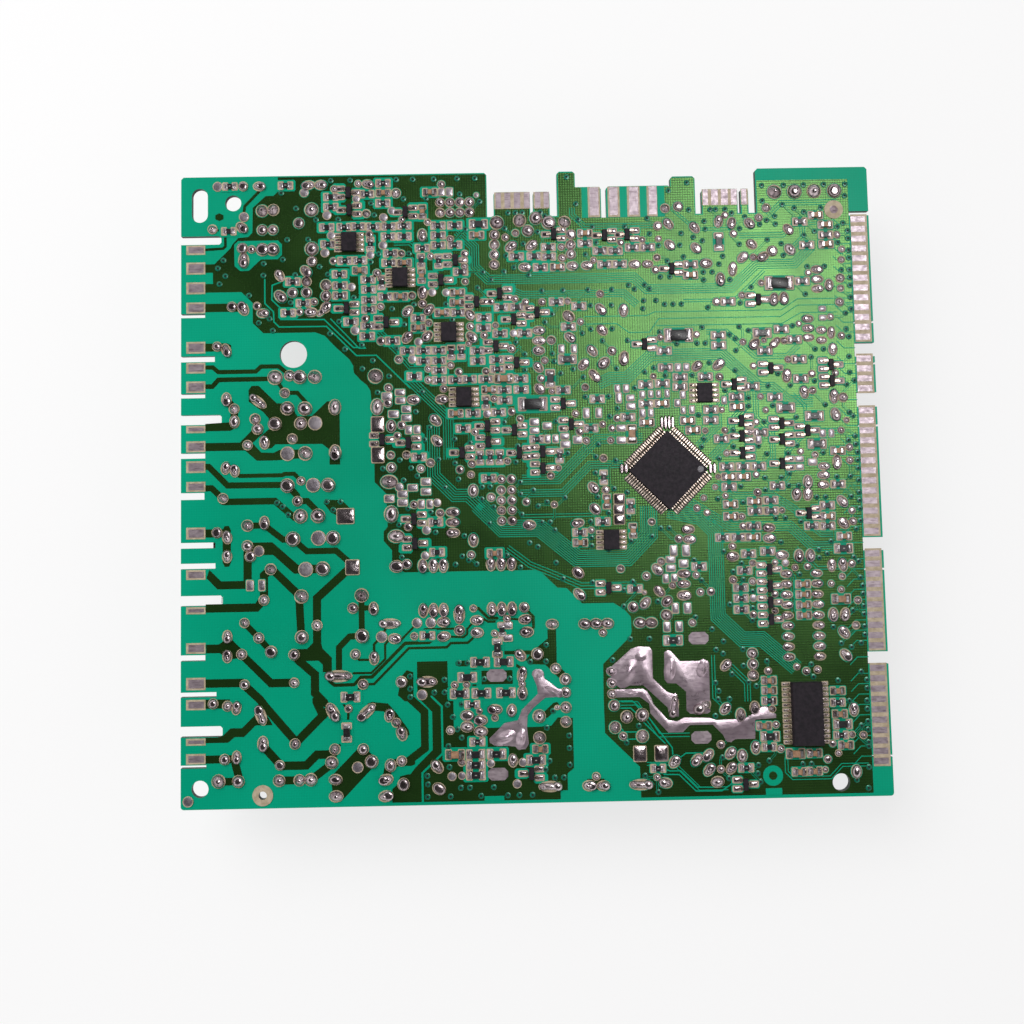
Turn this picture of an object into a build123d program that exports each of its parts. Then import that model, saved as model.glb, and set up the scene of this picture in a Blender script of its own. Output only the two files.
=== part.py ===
from build123d import *
import os

# Boiler control board: a printed circuit board with edge contacts on three sides, surface-mount
# parts and solder joints on one face and leaded parts on the other. It lies solder side up, on the
# tops of its tallest leaded parts. Millimetres. Lists give x, y from the board's lower left corner.

# ---- board ----
BOARD_T = 1.6            # laminate thickness
PARTS_H = 20.0           # height of the tallest leaded parts, on which the board lies
CORNER_R = 0.8           # outer corners
RIGHT_STRIP = 6.0        # contact strip along the right edge
RIGHT_CLEAR = 0.45       # bare laminate between the outermost test ring and that strip
TOP_CLEAR = 2.3          # from the highest row of resistors to the top edge
TOP_GAPS = 11.4          # depth of the gaps between the lands of the top edge
LAND_CHAMFER = 0.6       # corners of lands and tongues

# top edge: lands as start, end and how far each stays below the highest ones
TOP_LANDS = [
    (0.0, 77.05, 0.0), (78.75, 87.95, 5.05), (88.7, 92.9, 5.1), (94.8, 99.4, 0.0),
    (99.4, 105.9, 4.05), (107.2, 123.5, 4.0), (123.5, 129.75, 1.7), (131.35, 140.45, 5.1),
    (141.2, 143.2, 5.1),
]
LAST_LAND = 145.1                       # start of the land that runs to the right edge
KEY_SLOT = (105.9, 107.2, 1.1)          # the one gap that goes on below the others
TOP_BLOCK_SLOT = (143.9, 145.0, 6.4)    # slot from the right edge, y low, y high, length

# left edge: connector slots as y low, y high, length
LEFT_SLOTS = [
    (139.1, 141.25, 10.1), (120.55, 121.5, 6.0), (109.4, 110.85, 8.4), (100.35, 101.4, 6.0),
    (93.65, 96.1, 10.1), (85.3, 86.6, 6.0), (75.1, 76.8, 5.8), (63.1, 64.5, 8.5),
    (58.05, 59.4, 8.5), (49.0, 51.5, 10.3), (35.65, 37.1, 6.0), (26.9, 28.1, 8.7),
    (17.3, 19.9, 10.2), (9.85, 10.6, 6.2),
]
# right edge: polarising slots and wider notches, as y low and y high
RIGHT_SLOTS = [(116.35, 116.9), (105.9, 106.4), (90.3, 90.8), (54.7, 55.2), (9.3, 9.8)]
RIGHT_NOTCHES = [(107.95, 111.4), (95.25, 98.9), (59.55, 62.8), (31.8, 34.8)]
RIGHT_CUT = 6.2          # length of the right edge's slots and notches
WIDE_SLOT = 2.0          # slots wider than this have their inner corners cut
SLOT_CORNER = 0.5

# ---- holes ----
HOLES = {"top_left": (13.1, 149.6, 2.02), "bottom_left": (4.7, 4.9, 2.05),
         "bottom_right": (160.75, 3.45, 2.15), "locating": (28.0, 110.95, 3.4)}
OBROUND = (4.7, 149.1, 4.0, 8.7)        # centre, width and length of the obround hole
TEST_EYELETS = [(19.9, 3.1, 5.0), (164.7, 145.5, 4.7)]   # bare rings round a small hole
EYELET_HOLE_R = 1.0
RING_SIDES = 16

# ---- contacts ----
COPPER_T = 0.07          # tinned copper above the laminate
LEFT_PAD = (1.5, 4.5)    # start from the edge and length
LEFT_PADS = [
    (136.4, 139.1), (131.4, 134.75), (126.4, 129.7), (121.5, 124.6), (111.4, 114.65),
    (106.4, 109.4), (101.5, 104.7), (91.5, 93.6), (86.7, 89.75), (81.6, 84.8), (76.9, 79.7),
    (65.2, 68.4), (55.3, 58.0), (46.9, 48.95), (37.3, 40.2), (28.5, 31.8), (23.7, 26.5),
    (15.2, 17.2), (10.7, 13.5),
]
RIGHT_PAD = (1.0, 3.6, 1.5)   # gap to the edge, length, width
PAD_PITCH = 2.5
RIGHT_GROUPS = [(112.9, 13), (99.9, 4), (64.35, 13), (36.3, 10), (10.8, 9), (8.4, 1)]
TOP_PAD = (0.15, 4.0)         # gap to the tongue's end and contact length
TOP_PADS = [
    (79.3, 80.6), (81.5, 83.0), (83.9, 85.5), (86.4, 87.9), (89.2, 90.6), (91.4, 92.7),
    (131.7, 132.95), (133.8, 135.5), (136.3, 138.0), (138.8, 140.3), (141.5, 142.7),
]
WIDE_PAD = (0.2, 7.2)         # the same on the wide land
TONGUE_DROP = 5.05            # how far the tongues and the wide land stay below the top edge
WIDE_DROP = 4.0
WIDE_PADS = [(103.0, 105.25), (108.0, 110.1), (113.0, 115.3), (118.0, 120.0)]

# ---- surface-mount parts: length, width and height of each body ----
CHIP_0805 = (2.0, 1.25, 0.55)
CAP_0805 = (2.0, 1.25, 0.9)
CHIP_1206 = (3.1, 1.6, 0.6)
CAP_1206 = (3.1, 1.6, 1.1)
SHUNT = (5.0, 2.5, 0.7)
SHUNT_LARGE = (6.3, 3.2, 0.7)
SOT_BODY = (1.3, 2.9, 1.0)
SO8_BODY = (3.9, 4.9, 1.5)
LEAD_T = 0.2                  # gull-wing lead thickness
LEAD_W = 0.42

QFP_AT = (120.75, 80.3)       # processor, turned by QFP_TURN
QFP_TURN = 45
QFP_SIDE = 14.0
QFP_H = 1.5
QFP_LEADS = 20                # on each side
QFP_PITCH = 0.65
QFP_LEAD = (1.9, 0.3)         # length and width

SOIC_AT = (152.7, 20.35)
SOIC_BODY = (7.6, 15.4, 2.4)
SOIC_LEADS = 12
SO_PITCH = 1.27
SO_LEAD_L = 1.3

# ---- solder ----
JOINT_RATIO = 0.55            # height of a joint over its width
LUMP_H = 1.4
TIN_T = 0.5                   # thick tinning over the current paths

# ---- leaded parts ----
LEAD_D = 0.7
SEAT = 0.5                    # a body held off the board by its lead stubs
SMALL_SIDES = 12              # flats of the small round bodies
BARREL_SIDES = 20             # flats of the larger ones
CAN_SIDES = 24                # flats of the electrolytic capacitors
RELAY = (28.6, 11.0, 15.7)
CUBE_RELAY = (19.0, 15.4, 15.3)
RELAYS = [(37.0, 101.3), (37.0, 89.75), (40.0, 74.7), (41.0, 61.4)]
CUBE_RELAY_AT = (26.8, 142.6)
ECAPS_TALL = [(24.8, 128.4, 10.0), (145.9, 111.8, 10.0), (87.4, 18.2, 10.0), (112.55, 18.3, 8.0)]
ECAPS = [(97.05, 116.6, 8.0, 11.5), (105.2, 118.3, 8.0, 11.5), (131.6, 106.3, 8.0, 11.5),
         (98.0, 52.8, 6.3, 11.0), (143.6, 134.0, 5.0, 11.0)]
DISC_CAPS = [(89.1, 104.0), (72.4, 117.1), (163.0, 37.0)]
BOX_CAPS = [(41.5, 10.7, 13.0, 5.0, 11.0), (114.4, 11.3, 7.2, 4.4, 8.0), (21.4, 32.4, 18.0, 8.0, 15.0)]
DISC_CAP = (7.0, 3.0)         # diameter and thickness
VARISTOR_AT = (18.4, 47.5)
VARISTOR = (7.4, 3.2)
AXIALS = [
    (13.25, 82.1, 13.25, 94.2), (86.1, 131.9, 98.1, 132.0), (102.0, 132.1, 113.8, 132.2),
    (47.3, 35.6, 47.3, 47.6), (72.6, 42.8, 84.6, 42.8), (52.0, 42.0, 64.4, 42.0),
    (72.4, 64.2, 72.4, 76.1), (140.1, 12.2, 128.4, 10.6),
]
AXIAL_BODY = (6.6, 2.6)
TO92 = (2.3, 1.2, 4.8, 2.5)   # radius, centre to flat side, height and length of lead below it
TO92_PITCH = 1.27
TO92_ROWS = [(67.1, 68.4), (68.3, 44.5), (98.0, 137.7), (89.1, 113.4), (159.7, 127.8),
             (157.0, 115.3), (108.3, 70.8), (123.9, 52.0)]
OPTO_AT = [(62.0, 52.35), (78.8, 52.35)]
OPTO_BODY = (8.6, 7.4, 3.6)
OPTO_ROWS = 10.9
DIP_AT = (152.9, 44.1)
DIP_BODY = (22.8, 6.3, 3.4)
DIP_LEADS = 9
DIP_ROWS = 7.6
DIP_PITCH = 2.54
HEADERS = [(80.5, 73.65, 2, 5), (68.9, 147.6, 4, 2), (78.7, 136.6, 1, 4)]
HEADER_H = 8.5
TERMINAL_AT = (157.35, 150.3)
TERMINAL = (20.0, 8.6, 12.0)
TERMINAL_BASE = (3.0, 1.4)    # thickness of its floor and of its locking wall
TERMINAL_WAYS = 4
TERMINAL_PITCH = 5.0
FUSE_AT = (11.35, 51.4)
FUSE = (29.7, 6.3)            # length and diameter
FUSE_HEIGHT = 5.6             # axis above the board
CHOKE_AT = (37.0, 46.0)
CHOKE = (17.4, 16.0, 4.0)     # base length and width, and the core's thickness
XFMR_AT = (99.7, 24.6)
XFMR = (14.4, 18.0)           # footprint of its bobbin
XFMR_RAIL = 3.0               # width and height of its pin rails
XFMR_LEG = 3.0                # thickness of the frame's legs and yokes
XFMR_GAP = (1.0, 0.2)         # what the winding stays inside the frame's width, and off each leg
SINKS = [(77.1, 19.0), (127.0, 27.0)]
SINK = (2.0, 27.0)            # plate thickness and length
SINK_FIN = (1.2, 3.6, 4)      # fin thickness, depth and count
TO220_AT = (38.5, 31.4)
TAB = (10.0, 15.8, 1.3)       # width, height and thickness of its tab
TAB_HOLE = (1.85, 2.8)        # radius, and distance from the tab's end
TO220_BODY = (9.0, 3.2)       # height and thickness
TO220_LEAD = (0.8, 0.6, 3.5)
TO220_PITCH = 2.54

RESISTORS_X = [
    (12.3, 153.9), (12, 142.4), (37.7, 150.8), (37.7, 148.2), (46.8, 151.4), (50.9, 154.1),
    (50.8, 149), (36.6, 143), (44.5, 143.1), (48.3, 143), (52.2, 143), (56, 143.1), (52.1, 140.4),
    (56, 140.4), (36.9, 138.7), (41.1, 134.4), (44.8, 134.4), (52.6, 136.1), (52.2, 133.7),
    (39.7, 131), (64.6, 143), (68.8, 143), (64.6, 140.5), (64.6, 138), (68.7, 138), (60.6, 137.3),
    (70.1, 131.1), (84.2, 134.8), (88.7, 134.8), (92.3, 137), (92.3, 134.6), (90.2, 131.9),
    (101.6, 137.9), (105.3, 135.9), (113.5, 136.6), (117.3, 136.6), (106.4, 132.4), (110.1, 132.4),
    (128, 132), (156, 142.5), (162.4, 139), (157.5, 136.5), (28, 129.3), (26.8, 121.4),
    (30.6, 123.8), (39.8, 128.1), (39.8, 125.6), (42.5, 118.9), (46.9, 129.5), (47, 127),
    (47, 124.3), (47, 121.9), (46.7, 117.8), (46.5, 115.2), (51.1, 125.1), (52.8, 113.9),
    (56.5, 111.3), (69.3, 120.8), (59.3, 119.5), (60.5, 111.3), (64.3, 111.3), (60.5, 108.7),
    (64.3, 108.7), (64.3, 106.3), (75.7, 119.4), (75.6, 116.8), (79.7, 115.3), (80.2, 121.9),
    (84.1, 121.9), (74, 111), (74, 108.5), (78.8, 108.7), (78.9, 106.3), (85.8, 115.3),
    (94, 123.1), (99.6, 121.9), (96.9, 116.7), (137.1, 122.4), (134.4, 113.9), (134.4, 111.4),
    (120.7, 110.2), (120.9, 106), (156, 127.3), (150.3, 115.2), (153.4, 112.5), (145.9, 109.8),
    (154.4, 107.5), (59, 84.7), (58.1, 104.9), (64.3, 103.8), (68.4, 103.8), (76, 103.9),
    (84.6, 103.8), (80.4, 101.1), (84.7, 101.1), (80.5, 98.5), (72.6, 95.4), (78.9, 95.5),
    (70.1, 91.6), (76.2, 79.1), (95.1, 100.8), (103.6, 98.4), (88.4, 88.6), (101.8, 91.1),
    (111.1, 93.7), (115.8, 101.8), (115.8, 97), (120, 102), (124.5, 103.5), (124.4, 101.1),
    (130.8, 103.5), (142.4, 100.9), (138.4, 98.3), (131.9, 95.2), (131.8, 92.6), (134.3, 87.9),
    (144.1, 89.3), (135.4, 80.9), (139.5, 80.9), (143.3, 80.9), (154.7, 102.6), (148, 98.1),
    (62.8, 68.5), (63.1, 61.1), (104.2, 67.9), (98.5, 65.3), (135.8, 75.9), (133.8, 63.4),
    (137.6, 63.4), (141.5, 66.1), (142.1, 69.8), (146, 69.8), (146, 72.4), (144.8, 59.8),
    (140, 59.3), (127.7, 56.4), (138.9, 55.2), (147.8, 76), (160, 70.9), (156, 65.9),
    (159.9, 65.8), (162.9, 76.1), (60.4, 40.8), (111.7, 51.2), (137.8, 51), (137.8, 48.4),
    (137.8, 45.7), (71.1, 23.9), (72.2, 14.9), (116.1, 7.7), (143.8, 23.4), (143.4, 12.3),
    (137.6, 7.4), (161.1, 14.8), (160.6, 22.7), (26.3, 153.9), (41, 143), (109.1, 135.8),
    (71.8, 103.9),
]
RESISTORS_Y = [
    (47.5, 138.5), (60.2, 134.1), (64.6, 133.9), (50.2, 128.7), (67.4, 110.7), (69.9, 110.8),
    (75.8, 98), (74.1, 84.3), (76.6, 84.3), (79, 84.3), (93.9, 84.4), (104.7, 78.8), (111.2, 71.5),
    (78.7, 41.8),
]
CAPS_X = [
    (50.9, 151.6), (44.8, 131.9), (56, 133.6), (62.7, 151.6), (74.3, 140.4), (94.5, 131.9),
    (101.6, 140.4), (160, 144.1), (162.4, 141.6), (162.4, 136.6), (54.9, 125.1), (69.2, 125.8),
    (69.1, 123.3), (65.3, 120.8), (59.3, 117.1), (127.9, 129.3), (76.7, 101.2), (68.3, 95.4),
    (115.8, 92.3), (119.7, 97), (138.5, 95.8), (126, 92.6), (127.3, 90.2), (135.8, 78.4),
    (139.4, 78.4), (163.2, 84.4), (77.3, 60.6), (98.5, 62.8), (136, 71.6), (136, 68.6),
    (142, 72.2), (141.3, 63.4), (160, 68.2), (163.9, 63.2), (143.9, 28.3), (143.9, 25.9),
    (153.2, 51.6), (153.2, 49.1), (153.2, 46.5), (153.2, 44), (160.7, 25.5), (87.5, 12.9),
    (142.3, 17.4), (154.4, 10.6), (150.6, 6.2), (154.3, 6.3), (162.2, 12.4), (161, 19.9),
]
CAPS_Y = [
    (60.7, 146.6), (60.3, 130.2), (105.3, 72.8), (111.6, 65.5),
]
WIDE_X = [
    (74.8, 143.2), (96.4, 108.5), (145.4, 114.3), (150.6, 95.4), (157.7, 93.2), (158.1, 86.2),
    (163.6, 60.2), (41.4, 26.3), (73.2, 34.1), (79, 34.1), (70, 30.5), (68.1, 26.6), (73.4, 26.6),
    (79.4, 26.6), (120.7, 38.5), (71.7, 11.9), (76.8, 11.9), (71.7, 9.4), (71.7, 7), (86.4, 10.3),
    (143.7, 14.8), (161.6, 17.4),
]
WIDE_Y = [
    (135.3, 137.7), (92, 103.7), (77.5, 37.5), (40.4, 17.8),
]
WIDE_CAPS_X = [
    (80.4, 103.9), (162.5, 47.8), (66.7, 12), (149.8, 10.6),
]
WIDE_CAPS_Y = [
    (112, 89.5),
]
SHUNTS = [(124.4, 114.1), (150.2, 126.9)]
SHUNTS_LARGE = [(87.5, 97.4)]
EAST, WEST = 1, -1            # side of the single lead of a three-lead part
THREE_LEADS = [
    (42.1, 151.8, EAST), (42.3, 147.4, WEST), (56.4, 146.6, WEST), (68.8, 134.1, EAST),
    (93.7, 140.3, WEST), (106.5, 139.8, WEST), (112.2, 139.9, WEST), (41.4, 122.3, WEST),
    (51.3, 118.6, EAST), (65.1, 129.1, EAST), (74, 123.4, EAST), (79.8, 125.4, WEST),
    (83.2, 118.8, WEST), (78.6, 112.1, EAST), (83.7, 107.9, EAST), (89.1, 120.5, EAST),
    (115.8, 112, WEST), (123.2, 131, WEST), (144.7, 122.8, EAST), (162.3, 106, EAST),
    (147.2, 105.4, EAST), (49.9, 89.2, EAST), (56.4, 88.3, WEST), (76.1, 92.1, WEST),
    (82.8, 91, WEST), (76.2, 88.2, EAST), (69.7, 85.6, WEST), (83.9, 85.3, WEST),
    (95.1, 97.4, EAST), (97, 92.2, EAST), (89.7, 85.5, EAST), (89.7, 81.4, EAST),
    (137.9, 101.5, WEST), (139.4, 92.3, WEST), (139.4, 88.5, WEST), (139.4, 84.3, WEST),
    (162.4, 101.9, EAST), (149.4, 91.5, EAST), (155.8, 89.6, EAST), (149.4, 87.5, WEST),
    (149.2, 81.5, WEST), (57.5, 69.4, WEST), (57.7, 63.4, EAST), (145, 55.4, EAST),
    (155.3, 69.1, WEST), (105.2, 51.6, EAST), (145, 51.3, EAST), (145, 47.3, EAST),
    (145, 43.2, EAST), (85.2, 7.1, WEST), (137.3, 3.5, EAST),
]
SO8S = [
    (42.2, 139.1), (54.9, 129.9), (66.9, 115.9), (70.4, 99.5), (130.4, 99.5), (106.2, 63.4),
]
# round joints as x, y, diameter; long joints as x, y, length, width, angle
ROUND_JOINTS = [
    (20.4, 147.5, 3), (23.2, 147.7, 2.9), (20.4, 142.6, 2.6), (23.1, 142.6, 2.5),
    (20.4, 137.6, 3.2), (23, 137.6, 3.2), (15.4, 138, 2.6), (54.1, 151.5, 2.4), (29.6, 144.2, 2.6),
    (32.8, 147.6, 3.4), (32.8, 137.6, 3.4), (32.8, 134.4, 2.5), (72.6, 148.9, 2.4),
    (78.8, 140.4, 2.5), (78.7, 137.9, 2.5), (78.6, 135.3, 2.4), (78.6, 132.8, 2.5),
    (79.4, 143.5, 3.4), (85.2, 144, 3.2), (87.2, 141.3, 2.9), (89.3, 144.5, 3.2),
    (92.5, 143.3, 3.4), (96.5, 143.4, 3), (98, 140.2, 2.5), (97.9, 137.5, 2.5), (97.9, 135.1, 2.5),
    (125.3, 146.9, 2.4), (149.8, 150.3, 3.5), (154.9, 150.3, 3.5), (159.9, 150.3, 3.5),
    (165, 150.3, 3.5), (148.7, 135.1, 2.7), (12.7, 123.2, 2.4), (27.9, 126.5, 2.5),
    (23.4, 105.2, 3.6), (27, 105.6, 2.6), (31.4, 129.3, 2.5), (31.4, 126.5, 2.6),
    (36.3, 128.3, 2.8), (36.3, 125.5, 2.7), (29.5, 105.2, 3.3), (33.3, 105.2, 3.3),
    (48.4, 105.1, 3.6), (13.2, 97.5, 2.5), (25.8, 101.3, 2.4), (26.4, 97.4, 3.3),
    (23.3, 93.6, 3.3), (18.4, 94.9, 2.6), (19, 92.4, 2.7), (16.5, 88.4, 2.4), (27.6, 89.8, 2.5),
    (30.8, 97.3, 3.4), (29.7, 93.6, 3.1), (30.8, 86.1, 3.4), (52.1, 82.2, 2.4), (10.4, 75.3, 2.5),
    (8.9, 66.9, 2.5), (26.3, 78.2, 3.4), (28.8, 74.3, 2.4), (29.5, 70.6, 3.4), (27.6, 65, 3.5),
    (16.4, 68.5, 2.8), (16.4, 63.5, 2.7), (17.1, 60.9, 2.6), (22.1, 57.7, 2.7), (36.4, 78.2, 3.3),
    (33.8, 70.6, 3.4), (37.5, 65.1, 3.4), (34.9, 57.6, 3.4), (20.4, 50.2, 2.5), (19.1, 41, 2.5),
    (22.1, 37.6, 2.8), (27.7, 36.8, 2.6), (14.9, 37.1, 2.5), (29.6, 50.9, 3.3), (29.6, 41, 3.2),
    (33.4, 43.8, 2.5), (44.4, 50.9, 3.3), (44.4, 41, 3.3), (42.2, 47.8, 2.5), (42.7, 36.6, 2.4),
    (36, 31.4, 2.5), (38.5, 31.4, 2.5), (41, 31.4, 2.5), (44.5, 29.3, 2.4), (53.9, 29.7, 2.7),
    (68.3, 47.1, 2.5), (68.3, 44.6, 2.5), (68.3, 41.9, 2.5), (84.3, 47.2, 2.4), (87.3, 35.8, 2.9),
    (91.7, 32.2, 2.5), (94, 29.6, 2.7), (111.1, 46.8, 2.5), (119.3, 44.7, 2.8), (140.1, 35, 2.6),
    (140.1, 32.3, 2.6), (140.1, 29.6, 2.6), (7.9, 25.3, 2.4), (11.4, 24.7, 2.4), (10.7, 11.9, 2.5),
    (9.2, 6.7, 3.2), (14, 6.6, 2.9), (23.9, 6.6, 2.8), (28.8, 6.6, 2.7), (31.6, 6.7, 3),
    (27.8, 15.3, 2.5), (37.5, 13.8, 2.6), (36.7, 10.7, 3), (44.4, 13.7, 2.6), (46.4, 10.7, 3.1),
    (53.7, 10.7, 2.4), (87.4, 20.8, 3.1), (87.4, 15.6, 3), (94, 22.8, 2.6), (93.9, 19.3, 2.6),
    (105.8, 23, 2.6), (108.8, 20.2, 3), (112.6, 20.6, 3.1), (105.9, 17.7, 2.8), (112.5, 15.5, 3),
    (94, 26.4, 2.4),
]
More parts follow.
